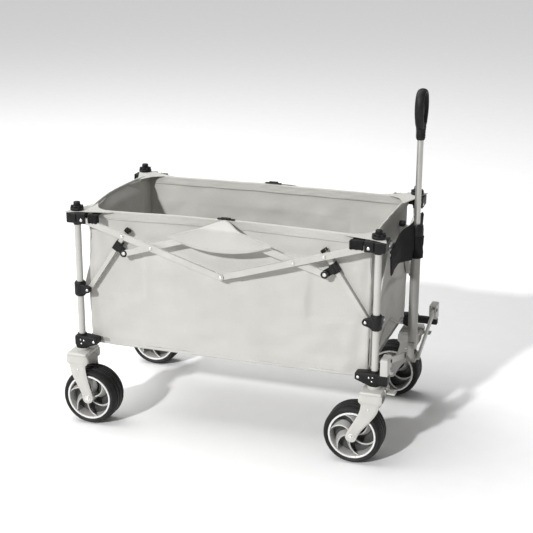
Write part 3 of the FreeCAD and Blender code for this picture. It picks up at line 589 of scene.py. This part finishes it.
def wheel(corner):
    """A wide grooved tyre on a grey rim with a bright ring and six swept blades, over a near-black disc of
    painted shade.
    """
    node = "wheel_" + corner
    centre = middle(node)
    half = 0.0375
    outline = [(0.0662, -0.0335), (0.0690, -0.0362), (0.0740, -half), (0.0780, -0.0345), (0.0805, -0.0285)]
    for groove in (-0.0165, 0.0, 0.0165):
        outline += [(0.0818, groove - 0.0062), (0.0818, groove - 0.0024), (0.0788, groove - 0.0014),
                    (0.0788, groove + 0.0014), (0.0818, groove + 0.0024), (0.0818, groove + 0.0062)]
    outline += [(0.0805, 0.0285), (0.0780, 0.0345), (0.0740, half), (0.0690, 0.0362), (0.0662, 0.0335)]
    bm = bmesh.new()
    lathe(bm, outline, centre, (0, 1, 0), 96)
    tyre = piece("tyre_" + corner, bm, TYRE, node, 40)
    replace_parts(tyre, node)

    bm = bmesh.new()
    lathe(bm, [(0.0664, -0.0330), (0.0612, -0.0325), (0.0600, -0.0240), (0.0580, 0.0), (0.0600, 0.0240),
               (0.0612, 0.0325), (0.0664, 0.0330)], centre, (0, 1, 0), 96)
    lathe(bm, [(0.0, -0.0360), (0.0120, -0.0360), (0.0150, -0.0330), (0.0165, 0.0), (0.0150, 0.0330),
               (0.0120, 0.0360), (0.0, 0.0360)], centre, (0, 1, 0), 40)
    piece("rim_" + corner, bm, RIM, node, 40)

    # The disc between the blades is near-black as painted shade for the dark gaps between the spokes.
    bm = bmesh.new()
    lathe(bm, [(0.0120, -0.0050), (0.0600, -0.0050), (0.0600, 0.0050), (0.0120, 0.0050)],
          centre, (0, 1, 0), 72)
    piece("wheel_web_painted_shade_" + corner, bm, PAINTED_SHADE_WEB, node, 40)

    bm = bmesh.new()
    for face in (-1, 1):
        lathe(bm, [(0.0608, face * 0.0315), (0.0608, face * 0.0352), (0.0620, face * 0.0366),
                   (0.0652, face * 0.0366), (0.0664, face * 0.0352), (0.0664, face * 0.0315)],
              centre, (0, 1, 0), 96)
    piece("rim_ring_" + corner, bm, RING, node, 40)

    bm = bmesh.new()
    for face in (-1, 1):
        for number in range(6):
            start = math.tau * number / 6 + 0.2

            def blade(s, t, start=start, face=face):
                far = 0.0125 + s * 0.0485
                angle = start + 0.70 * s ** 1.6 - t * (0.46 - 0.20 * s)
                depth = face * (0.0325 - t * 0.0215 - 0.0035 * math.sin(math.pi * s) * (1 - t))
                return centre + Vector((far * math.cos(angle), depth, far * math.sin(angle)))
            surface(bm, 14, 8, blade)
    piece("blades_" + corner, bm, RIM, node, 50, wall=0.0036)


def smooth_step(low, high, value):
    share = min(max((value - low) / (high - low), 0), 1)
    return share * share * (3 - 2 * share)


def caster(corner):
    """Two wide curved plates from a crown under the base corner down to the axle."""
    front = corner.startswith("front")
    body = "fork_" + corner if front else "frame_" + corner
    lead = 0.050 if front else 0.030
    flank = 0.0448
    top, drop = 0.2085, 0.2085 - AXLE_Z

    bm = bmesh.new()
    for side in (-1, 1):
        def plate(s, t, side=side):
            t = 2 * t - 1
            down = s * (drop + 0.0150)
            share = min(down / drop, 1)
            sweep = smooth_step(0.25, 1.12, share) / smooth_step(0.25, 1.12, 1)
            across = lead * (0.10 * share + 0.90 * sweep)
            wide = 0.0315 - 0.0075 * smooth_step(0.16, 0.24, share) - 0.0085 * smooth_step(0.25, 1, share)
            past = max(down - drop, 0)
            if past > 0:
                wide = math.sqrt(max(0.0155 ** 2 - past ** 2, 0))
            flare = 0.0022 * (1 - smooth_step(0.14, 0.22, share))
            rolled = 0.0030 * abs(t) ** 6 * (1 if past == 0 else 0)
            return Vector((across + t * wide, side * (0.0432 + flare - rolled), top - down))
        surface(bm, 64, 12, plate)
    to_corner(bm, corner)
    merge(bm, 1e-5)
    plates = piece("fork_plates_" + corner, bm, PAINT, body, 45, wall=0.0032, bevel=0.0007)
    if front:
        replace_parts(plates, "fork_" + corner)

    bm = bmesh.new()
    block(bm, (-0.0300, -flank, 0.2045), (0.0300, flank, 0.2165), 0.004)
    drum(bm, 0.0190, (0, 0, 0.214), (0, 0, 0.2232), 0.0016, 40)
    if front:
        for low in (-0.0118, 0.0088):
            block(bm, (-0.0345, low, 0.2015), (0.0, low + 0.0030, 0.2165), 0.0008)
    to_corner(bm, corner)
    piece("fork_crown_" + corner, bm, PAINT, body)

    bm = bmesh.new()
    for side in (-1, 1):
        face = side * flank
        drum(bm, 0.0088, (lead, face, AXLE_Z), (lead, face + side * 0.0012, AXLE_Z), 0.0004, 32)
        drum(bm, 0.0056, (lead, face, AXLE_Z), (lead, face + side * 0.0042, AXLE_Z), 0.0009, 6)
        dome(bm, (0.006 if front else 0.004, side * 0.0446, top - 0.042), (0, side, 0), 0.0032, 0.0016)
    drum(bm, 0.0050, (lead, -flank, AXLE_Z), (lead, flank, AXLE_Z), 0, 24)
    to_corner(bm, corner)
    piece("axle_" + corner, bm, RIVET, body)

    if front:
        pedal = "brake_pedal_" + corner
        bm = bmesh.new()
        block(bm, (-0.0590, -0.0125, 0.2035), (-0.0380, 0.0125, 0.2090), 0.0022)
        block(bm, (-0.0420, -0.0082, 0.2040), (-0.0290, 0.0082, 0.2080), 0.0012)
        drum(bm, 0.0050, (-0.029, -0.0084, 0.206), (-0.029, 0.0084, 0.206), 0.0008, 24)
        for rib in range(5):
            x = -0.0562 + rib * 0.0038
            block(bm, (x, -0.0100, 0.2084), (x + 0.0016, 0.0100, 0.2098), 0.0004, 1)
        to_corner(bm, corner)
        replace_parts(piece("pedal_" + corner, bm, PAINT, pedal), pedal)


# ---------------------------------------------------------------- pull handle

def handle():
    carried("tow_link_right", PAINT, "tow_link_right")
    carried("tow_link_left", PAINT, "tow_link_left")
    # Knuckle and outer tube take the darker grey that also carries painted shade.
    carried("handle_knuckle", DARK_PAINT_AND_SHADE, "handle_knuckle")
    carried("handle_outer_tube", DARK_PAINT_AND_SHADE, "handle_outer", 0.0005)
    carried("handle_inner_tube", ROD, "handle_inner", 0.0005)

    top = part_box("handle_outer_tube")[1].z
    bm = bmesh.new()
    at = (HANDLE_X, 0, 0)
    lathe(bm, [(0.0090, top - 0.034), (0.0176, top - 0.034), (0.0182, top - 0.031), (0.0182, top - 0.004),
               (0.0168, top + 0.0008), (0.0090, top + 0.0016)], at, (0, 0, 1), 48)
    for turn in range(12):
        angle = math.tau * turn / 12
        spot = Vector((HANDLE_X + 0.0178 * math.cos(angle), 0.0178 * math.sin(angle), 0))
        drum(bm, 0.0014, spot + Vector((0, 0, top - 0.028)), spot + Vector((0, 0, top - 0.008)), 0.0004, 8)
    piece("handle_lock", bm, BLACK, "handle_outer")

    low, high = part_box("handle_grip")
    centre_z = high.z - 0.054
    bm = bmesh.new()

    def loop(s, t):
        turn, around = math.tau * s, math.tau * t
        rise = math.sin(turn)
        reach = 0.0345 * (1 - 0.30 * smooth_step(0.1, -1.0, rise)) if rise < 0.1 else 0.0345
        ring_y = reach * math.copysign(abs(math.cos(turn)) ** 0.80, math.cos(turn))
        ring_z = centre_z + (0.0445 if rise > 0 else 0.0520) * math.copysign(abs(rise) ** 0.86, rise)
        out = Vector((0, math.cos(turn), rise * 0.8)).normalized()
        thick = 0.0088 + 0.0014 * math.cos(2 * turn)
        middle_line = Vector((HANDLE_X + 0.0122 * math.sin(around), ring_y, ring_z))
        return middle_line + out * thick * math.cos(around)
    surface(bm, 72, 20, loop)
    merge(bm, 2e-5)
    face_outward(bm)
    lathe(bm, [(0.0, low.z), (0.0104, low.z), (0.0118, low.z + 0.003), (0.0122, low.z + 0.018),
               (0.0150, low.z + 0.036), (0.0150, low.z + 0.046), (0.0, low.z + 0.050)],
          (HANDLE_X, 0, 0), (0, 0, 1), 40)
    for vert in bm.verts:
        if vert.co.z < low.z + 0.055 and abs(vert.co.y) < 0.0160:
            flatter = 1 - 0.12 * smooth_step(low.z + 0.02, low.z + 0.05, vert.co.z)
            vert.co.x = HANDLE_X + (vert.co.x - HANDLE_X) * flatter
    for ring in range(4):
        z = low.z + 0.006 + ring * 0.0042
        lathe(bm, [(0.0110, z), (0.0130, z + 0.0005), (0.0130, z + 0.0018), (0.0110, z + 0.0023)],
              (HANDLE_X, 0, 0), (0, 0, 1), 40)
    grip = piece("grip_loop", bm, GRIP, "handle_inner", 50)
    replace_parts(grip, "handle_grip")


# ---------------------------------------------------------------- fabric tub

TUB_HALF_Y = TUB_HIGH.y - 0.0015
TUB_BACK, TUB_FRONT = TUB_LOW.x + 0.0015, TUB_HIGH.x - 0.0015
FLOOR_Z = TUB_LOW.z + 0.0015
SKIRT_Z = TUB_LOW.z - 0.0175
LONG_WALL, END_WALL = TUB_FRONT - TUB_BACK, 2 * TUB_HALF_Y
STITCH_STEP = 0.0045


def ripple(a, b, seed, size):
    return noise.noise(Vector((a / size, b / size, seed)))


def rim_point(side, s):
    """A point on the tub's rim: s runs along X on the long sides and along Y on the ends."""
    arch = 4 * s * (1 - s)
    if side in ("right", "left"):
        sign = -1 if side == "right" else 1
        x = TUB_BACK + s * LONG_WALL
        return Vector((x, sign * (TUB_HALF_Y - 0.010 * arch), RIM_Z - 0.0035 + 0.0055 * arch
                       + 0.0012 * ripple(x, sign, 2.0, 0.11)))
    y = -TUB_HALF_Y + s * END_WALL
    x = TUB_BACK - 0.013 * arch if side == "rear" else TUB_FRONT - 0.001 * arch
    return Vector((x, y, RIM_Z - 0.0035 + (0.008 if side == "rear" else 0.002) * arch
                   + 0.0012 * ripple(y, x, 5.0, 0.11)))


def out_of(side):
    return {"right": Vector((0, -1, 0)), "left": Vector((0, 1, 0)),
            "rear": Vector((-1, 0, 0)), "front": Vector((1, 0, 0))}[side]


def wall_line(side, s):
    """Where a wall without slack would stand, at a share of its side, as a point on the ground."""
    out = out_of(side)
    point = rim_point(side, s)
    flat = {"rear": abs(TUB_BACK), "front": abs(TUB_FRONT)}.get(side, TUB_HALF_Y)
    point = point - out * point.dot(out) + out * flat
    point.z = 0
    return point


def front_arch(s):
    """How far the foot of the front wall is cut up at a share of its width."""
    return 0.004 + 0.060 * smooth_step(0.10, 0.50, min(s, 1 - s))


def ride_folding(thing, side):
    """Joins a piece of the tub to a corner of the frame, and gives it a mesh of its own."""
    if side in ("right", "left"):
        corner = "rear_" + side
        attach(thing, "frame_" + corner)
        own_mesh(thing)
    else:
        corner = side + "_right"
        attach(thing, "frame_" + corner)
        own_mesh(thing)
    return thing


def tub_wall(side):
    """One wall of the tub, from its hem at the foot to the rim, slack between the posts."""
    long = side in ("right", "left")
    length = LONG_WALL if long else END_WALL
    out = out_of(side)
    seed = {"right": 1.3, "left": 7.9, "rear": 4.1, "front": 9.7}[side]
    tall, cut_height = 0.376, 0.378

    def shape(s, t):
        top = rim_point(side, s)
        arch = 4 * s * (1 - s)
        foot = (SKIRT_Z if long else FLOOR_Z) + 0.0015 * ripple(s * length, 0, seed, 0.09)
        if side == "front":
            foot += front_arch(s)
        base = wall_line(side, s)
        rise = smooth_step(0.55 if long else 0.89, 1.0, t)
        point = base.lerp(Vector((top.x, top.y, 0)), rise)
        point.z = foot + t * (top.z - foot)
        near = min(s, 1 - s) * length
        body = math.sqrt(max(arch, 0)) * math.sin(math.pi * min(t / 0.8, 1)) ** 0.8
        swell = (0.0085 if long else 0.006) * body
        drape = (0.0042 * ripple(s * length, t * 0.16, seed, 0.11) * min(near / 0.05, 1)
                 * min((1 - t) * 4, 1))
        sag = (0.0030 * ripple(s * length * 1.7, t * 0.9, seed + 3, 0.10) * min((1 - t) * 6, 1)
               * min(t * 8, 1))
        post_fold = 0.0046 * math.exp(-near / 0.030) * math.sin(near / 0.0085 + 5 * t) * min((1 - t) * 5, 1)
        pull = 0.0028 * math.exp(-((near - 0.6 * (1 - t) * tall) / 0.030) ** 2) * smooth_step(0.3, 0.8, t)
        pucker = 0.0016 * ripple(s * length, 0.0, seed + 6, 0.020) * math.exp(-t / 0.05)
        skirt = 0.0030 * smooth_step(0.13, 0.03, t) * min(max(near - 0.050, 0) / 0.02, 1) if long else 0
        free = smooth_step(0.40, 0.30, t)
        if long:
            free = max(smooth_step(0.155, 0.215, near), free)
        slack = swell + drape + sag + post_fold + pucker + skirt - pull
        return point + out * min(slack, 0.0008 + 0.02 * free)

    bm = bmesh.new()
    surface(bm, 150 if long else 90, 70, shape, (length, tall))
    if side in ("left", "rear"):
        face_outward(bm)
    wall = piece("tub_wall_" + side, bm, FABRIC, None, 60, wall=0.0014)
    if side == "right":
        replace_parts(wall, "fabric_tub")
    ride_folding(wall, side)

    bm = bmesh.new()
    count = int(length / STITCH_STEP)
    stitches(bm, [shape(0.004 + 0.992 * number / count, 0.048) + out * 0.0008
                  for number in range(count + 1)])
    sew("foot_stitches_" + side, bm, side)


def sew(name, bm, side):
    ride_folding(piece(name, bm, THREAD, None, 60), side)


def stitches(bm, points, length=0.0028, thick=0.00038):
    """A row of short raised stitches along a line of points."""
    for start, end in zip(points[:-1], points[1:]):
        made = bmesh.ops.create_icosphere(bm, subdivisions=1, radius=1)["verts"]
        bmesh.ops.scale(bm, vec=(thick, thick, length / 2), verts=made)
        stand(bm, made, end - start, (start + end) / 2)


def rim_band(side):
    """The doubled hem along the rim, folded over the top edge, with two rows of stitching."""
    long = side in ("right", "left")
    length = LONG_WALL if long else END_WALL
    out = out_of(side)
    deep = 0.024

    def shape(s, t):
        top = rim_point(side, s)
        across = (t - 0.5) * 2
        down = max(abs(across) - 0.12, 0) / 0.88 * deep
        offset = 0.0021 * math.copysign(min(abs(across) / 0.12, 1), across)
        soft = 0.0008 * ripple(s * length, across * 0.1, 11.0, 0.03)
        lift = 0.0016 * math.cos(min(abs(across) / 0.12, 1) * math.pi / 2)
        return top + out * (offset + soft) + Vector((0, 0, lift - down))

    bm = bmesh.new()
    surface(bm, 130 if long else 80, 26, shape, (length, deep * 2.2))
    face_outward(bm)
    band = piece("rim_band_" + side, bm, HEM, None, 60, wall=0.0009)
    ride_folding(band, side)

    bm = bmesh.new()
    count = int(length / STITCH_STEP)
    for face in (-1, 1):
        for down in (0.0035, 0.0200):
            row = []
            for number in range(count + 1):
                s = number / count
                soft = 0.0008 * ripple(s * length, face * (0.12 + 0.88 * down / deep) * 0.1, 11.0, 0.03)
                row.append(rim_point(side, s) + out * (face * 0.0026 + soft) - Vector((0, 0, down)))
            stitches(bm, row)
    sew("rim_stitches_" + side, bm, side)


def foot_band(side):
    """The bound edge along the foot of a wall, and its stitching."""
    long = side in ("right", "left")
    length = LONG_WALL if long else END_WALL
    out = out_of(side)
    bm = bmesh.new()

    def edge(s):
        base = wall_line(side, s)
        base.z = SKIRT_Z if long else FLOOR_Z
        if long:
            near = min(s, 1 - s) * length
            base += out * 0.0030 * min(max(near - 0.050, 0) / 0.02, 1)
        if side == "front":
            base.z += front_arch(s)
        return base

    def shape(s, t):
        turn = math.tau * t
        rise = Vector((0, 0, 0.0042 * math.sin(turn) + 0.0022))
        return edge(s) + out * (0.0030 * math.cos(turn) + 0.0004) + rise
    surface(bm, 130 if long else 80, 12, shape, (length, 0.02))
    merge(bm, 1e-5)
    face_outward(bm)
    ride_folding(piece("foot_band_" + side, bm, HEM, None, 60), side)


def corner_patch(corner):
    """The fabric corner that lies over the moulded block and is held down by the knob."""
    body = "frame_" + corner

    def shape(s, t):
        tip, along_x, along_y, inner = (Vector((-0.0290, -0.0290)), Vector((0.100, 0.0175)),
                                        Vector((0.0175, 0.100)), Vector((0.0440, 0.0440)))
        flat = tip.lerp(along_x, s).lerp(along_y.lerp(inner, s), t)
        nearness = math.exp(-(flat.length / 0.045) ** 2)
        sag = 0.0030 * (1 - nearness) + 0.0010 * ripple(flat.x, flat.y, 3.3, 0.02) * (1 - nearness)
        if s < 0.12 and t < 0.12:
            flat = flat.lerp(Vector((-0.0215, -0.0215)), (0.12 - max(s, t)) * 3.2)
        return Vector((flat.x, flat.y, RIM_Z + 0.0008 - sag))

    bm = bmesh.new()
    surface(bm, 40, 40, shape, (0.13, 0.13))
    to_corner(bm, corner)
    patch = piece("corner_patch_" + corner, bm, HEM, body, 60, wall=0.0020)
    bm = bmesh.new()
    for swap in (False, True):
        row = []
        for number in range(27):
            s = 0.05 + 0.92 * number / 26
            spot = shape(s, 0.035) if not swap else shape(0.035, s)
            row.append(spot + Vector((0, 0, 0.0012)))
        stitches(bm, row)
    to_corner(bm, corner)
    piece("patch_stitches_" + corner, bm, THREAD, body, 60)


def bar_strap(corner):
    """Black webbing that ties the tub to the side bar beside the moulded corner."""
    bar = "side_bar_" + corner
    bm = bmesh.new()
    start, stop = (0.0400, 0.0690) if corner.startswith("rear") else (0.0350, 0.0740)
    low, high = PIVOT_Z - 0.0075, PIVOT_Z + 0.0165
    block(bm, (start, -0.0206, low), (stop, -0.0040, high), 0.0022)
    for rib in range(3):
        x = start + 0.0030 + rib * (stop - start - 0.0100) / 2
        block(bm, (x, -0.0213, low - 0.0004), (x + 0.0040, -0.0036, high + 0.0004), 0.0006)
    block(bm, (start + 0.003, -0.0060, high - 0.0045),
          (stop - 0.003, HALF_Y - TUB_HALF_Y + 0.0010, high - 0.0020), 0.0006)
    to_corner(bm, corner)
    piece("bar_strap_" + corner, bm, WEBBING, bar)


def flap_cover(side):
    """The sewn cover over the middle of the linkage: pointed at the rim, curved along its foot."""
    out = out_of(side)
    half, high, tip_drop = 0.150, 0.079, 0.047
    start = rim_point(side, 0.5)
    along = Vector((1, 0, 0))
    reach = HALF_Y + 0.0222 - abs(start.y)

    def shape(s, t):
        across = 2 * s - 1
        top = -tip_drop * abs(across) ** 1.15
        foot = -tip_drop - (high - tip_drop) * (1 - abs(across) ** 2.2)
        down = top + (foot - top) * t
        over = reach * smooth_step(0.0, 0.022, -down + 0.004) + 0.0015
        belly = 0.0035 * math.sin(math.pi * t) * (1 - across ** 2)
        wave = 0.0012 * ripple(across * half, down, 8.2, 0.04)
        return start + along * (across * half) + out * (over - belly + wave) + Vector((0, 0, down + 0.0030))

    bm = bmesh.new()
    surface(bm, 72, 26, shape, (2 * half, high))
    merge(bm, 2e-5)
    cut = sum(face.calc_area() for face in bm.faces)
    cover = piece("flap_cover_" + side, bm, FABRIC, None, 60, wall=0.0013)
    ride_folding(cover, side)

    bm = bmesh.new()
    for gap in (0.05, 0.12):
        row = [shape(0.03 + 0.94 * number / 66, 1 - gap) + out * 0.0010 for number in range(67)]
        stitches(bm, row)
    for sign in (-1, 1):
        row = [shape(0.5 + sign * 0.46 * number / 30, 0.07) + out * 0.0010 + Vector((0, 0, 0.0004))
               for number in range(31)]
        stitches(bm, row)
    sew("flap_stitches_" + side, bm, side)

    bm = bmesh.new()
    top = start + Vector((0, 0, 0.0045))
    block(bm, top - along * 0.0200 - Vector((0.005, 0.005, 0.0015)) + out * 0.002,
          top + along * 0.0200 + Vector((0.005, 0.005, 0.0012)) + out * 0.002, 0.0011)
    block(bm, top - along * 0.0095 - Vector((0.004, 0.004, 0.0)) + out * 0.004,
          top + along * 0.0095 + Vector((0.004, 0.004, 0.0044)) + out * 0.004, 0.0016)
    hook = piece("rim_hook_" + side, bm, BLACK, None)
    ride_folding(hook, side)


def corner_pleat(corner):
    """Slack cloth inside the tub that folds over itself beside a corner seam."""
    side = corner.split("_")[0]
    y_sign = CORNERS[corner][1]
    out = out_of(side)

    def shape(s, t):
        rim = rim_point(side, 0.5 + y_sign * (0.5 - (0.012 + 0.125 * s * t ** 0.75) / END_WALL))
        lift = 0.0015 + 0.012 * math.sin(math.pi * s) ** 0.7 * t * (1 - 0.55 * t)
        return Vector((rim.x, rim.y, rim.z - 0.004 - (1 - t) * 0.150)) - out * lift

    bm = bmesh.new()
    surface(bm, 26, 40, shape, (0.06, 0.15))
    face_outward(bm)
    pleat = piece("corner_pleat_" + corner, bm, FABRIC, None, 60, wall=0.0012)
    ride_folding(pleat, side)


def tub_floor():
    """The tub's bottom in two halves that fold up with the bottom rails, and four padded panels."""
    gap = 0.0015
    for end, low, high in (("rear", TUB_BACK, MID_X - gap / 2), ("front", MID_X + gap / 2, TUB_FRONT)):
        rail = f"bottom_rail_{end}_right"

        def shape(s, t, low=low, high=high):
            x, y = low + s * (high - low), -TUB_HALF_Y + END_WALL * t
            return Vector((x, y, FLOOR_Z + 0.0006 + 0.0008 * ripple(x, y, 6.0, 0.06)))
        bm = bmesh.new()
        surface(bm, 60, 50, shape, (high - low, END_WALL))
        bottom = piece(f"tub_bottom_{end}", bm, FABRIC, rail, 60, wall=0.0014)
        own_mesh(bottom)

        board_low, board_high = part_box("floor_board")
        middle_x = (board_low.x + board_high.x) / 2
        first, last = (board_low.x, middle_x) if end == "rear" else (middle_x, board_high.x)
        for number in range(2):
            start = first + (last - first) / 2 * number + 0.0018
            stop = first + (last - first) / 2 * (number + 1) - 0.0018
            pad(f"floor_panel_{end}_{number}", Vector((start, board_low.y, board_low.z)),
                Vector((stop, board_high.y, board_high.z)), rail)


def front_closure():
    """The low inner wall that shuts the tub behind the arched foot of the front wall."""
    width, tall = END_WALL - 0.008, 0.080

    def shape(s, t):
        y = width * (s - 0.5)
        return Vector((TUB_FRONT - 0.0045 + 0.0006 * ripple(y, t * tall, 12.0, 0.05), y,
                       FLOOR_Z + 0.0015 + t * tall))
    bm = bmesh.new()
    surface(bm, 60, 14, shape, (width, tall))
    face_outward(bm)
    closure = piece("tub_closure_front", bm, FABRIC, None, 60, wall=0.0012)
    ride_folding(closure, "front")


def pad(name, low, high, rail):
    """A stiff panel with thin foam under canvas: crowned, pinched at its sewn edge."""
    bm = bmesh.new()
    uv = bm.loops.layers.uv.verify()
    made = bmesh.ops.create_cube(bm, size=1)["verts"]
    bmesh.ops.scale(bm, vec=high - low, verts=made)
    bmesh.ops.translate(bm, vec=(low + high) / 2, verts=made)
    bmesh.ops.bevel(bm, geom=bm.edges[:], offset=0.0032, segments=4, profile=0.5, affect="EDGES",
                    material=-1)
    flat = [edge for edge in bm.edges if edge.calc_length() > 0.05]
    bmesh.ops.subdivide_edges(bm, edges=flat, cuts=18, use_grid_fill=True)
    size = high - low
    for vert in bm.verts:
        s, t = (vert.co.x - low.x) / size.x, (vert.co.y - low.y) / size.y
        if vert.co.z > (low.z + high.z) / 2:
            rim = min(min(s, 1 - s) * size.x, min(t, 1 - t) * size.y)
            vert.co.z += 0.0022 * smooth_step(0.004, 0.022, rim) - 0.0010 + 0.0006 * ripple(
                vert.co.x, vert.co.y, 2.2, 0.05)
    for face in bm.faces:
        for loop in face.loops:
            loop[uv].uv = (loop.vert.co.x, loop.vert.co.y + loop.vert.co.z)
    # The panel canvas is darker than the walls as painted shade for the tub's shaded floor.
    panel = piece(name, bm, PAINTED_SHADE_PANEL, rail, 60)
    if name == "floor_panel_rear_0":
        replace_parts(panel, "floor_board")
    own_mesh(panel)


def keeper():
    """Black cloth over the front linkage: a wing each side, and a sleeve round the handle's tube."""
    for corner in ("front_right", "front_left"):
        y_sign = CORNERS[corner][1]
        post = POST[corner]

        def shape(s, t, y_sign=y_sign, post=post):
            y = y_sign * (0.208 - 0.189 * s)
            top = RIM_Z - 0.042 + 0.036 * s ** 1.3
            foot = RIM_Z - 0.118 + 0.012 * math.sin(math.pi * s) + 0.062 * smooth_step(0.11, 0.0, s)
            ahead = 0.0235 + 0.020 * smooth_step(0.60, 1.0, s)
            belly = 0.004 * math.sin(math.pi * t) + 0.0020 * ripple(y, t * 0.1, 4.4, 0.03)
            return Vector((post.x + ahead + belly, y, foot + t * (top - foot)))
        bm = bmesh.new()
        surface(bm, 44, 34, shape, (0.13, 0.10))
        face_outward(bm)
        wing = piece("keeper_wing_" + corner, bm, WEBBING, "frame_" + corner, 60,
                     wall=0.0016)
        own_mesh(wing)

    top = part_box("handle_outer_tube")[1].z

    def sleeve(s, t):
        turn = math.tau * s
        radius = (0.0186 + 0.0012 * ripple(math.cos(turn), math.sin(turn) + t * 3, 1.1, 0.6)
                  + 0.0010 * abs(2 * t - 1) ** 3)
        return Vector((HANDLE_X + radius * math.cos(turn), radius * math.sin(turn),
                       top - 0.092 + t * 0.060))
    bm = bmesh.new()
    surface(bm, 48, 24, sleeve, (0.12, 0.06))
    merge(bm, 2e-5)
    face_outward(bm)
    piece("keeper_sleeve", bm, WEBBING, "handle_outer", 60, wall=0.0018)


# ---------------------------------------------------------------- light, floor and camera

def studio():
    scene = bpy.context.scene
    scene.view_settings.view_transform = "Standard"
    scene.view_settings.look = "None"
    bm = bmesh.new()
    bmesh.ops.create_grid(bm, x_segments=1, y_segments=1, size=60)
    mesh = bpy.data.meshes.new("floor")
    bm.to_mesh(mesh)
    bm.free()
    floor = bpy.data.objects.new("floor", mesh)
    scene.collection.objects.link(floor)
    mesh.materials.append(painted_finish("studio_floor", (0.86, 0.86, 0.86), (0.88, 0.88, 0.88), 0.75, 0.0))

    world = bpy.data.worlds.new("studio")
    scene.world = world
    world.use_nodes = True
    world.node_tree.nodes["Background"].inputs["Color"].default_value = (1, 1, 1, 1)
    world.node_tree.nodes["Background"].inputs["Strength"].default_value = 0.27

    def lamp(name, kind, place, aim, power, size):
        data = bpy.data.lights.new(name, kind)
        data.energy = power
        if kind == "SUN":
            data.angle = math.radians(size)
        else:
            data.shape = "SQUARE"
            data.size = size
        thing = bpy.data.objects.new(name, data)
        thing.location = place
        thing.rotation_mode = "QUATERNION"
        thing.rotation_quaternion = (Vector(aim) - Vector(place)).to_track_quat("-Z", "Y")
        scene.collection.objects.link(thing)
    lamp("key", "SUN", (-0.9, -3.0, 1.75), (0, 0, 0), 2.9, 3)
    lamp("top", "AREA", (-1.8, 0.4, 4.2), (0, 0, 0), 230, 5)

    azimuth, elevation, distance = math.radians(18.98), math.radians(17.81), 3.678
    aim_height = 0.45
    target = Vector((MID_X, 0, aim_height))
    back = Vector((math.sin(azimuth) * math.cos(elevation), -math.cos(azimuth) * math.cos(elevation),
                   math.sin(elevation)))
    data = bpy.data.cameras.new("camera")
    camera = bpy.data.objects.new("camera", data)
    scene.collection.objects.link(camera)
    scene.camera = camera
    data.sensor_width = 36
    data.lens = 86.0
    data.shift_x = 0.0291
    data.shift_y = -0.0081
    camera.rotation_mode = "QUATERNION"
    camera.location = target + back * distance
    camera.rotation_quaternion = (-back).to_track_quat("-Z", "Y")


for corner in CORNERS:
    top_corner(corner)
    collar(corner)
    base_corner(corner)
    linkage(corner)
    caster(corner)
    wheel(corner)
    corner_patch(corner)
    bar_strap(corner)
handle()
for side in ("right", "left", "rear", "front"):
    tub_wall(side)
    rim_band(side)
    foot_band(side)
flap_cover("right")
flap_cover("left")
for corner in ("rear_left", "rear_right", "front_left"):
    corner_pleat(corner)
tub_floor()
front_closure()
keeper()
studio()
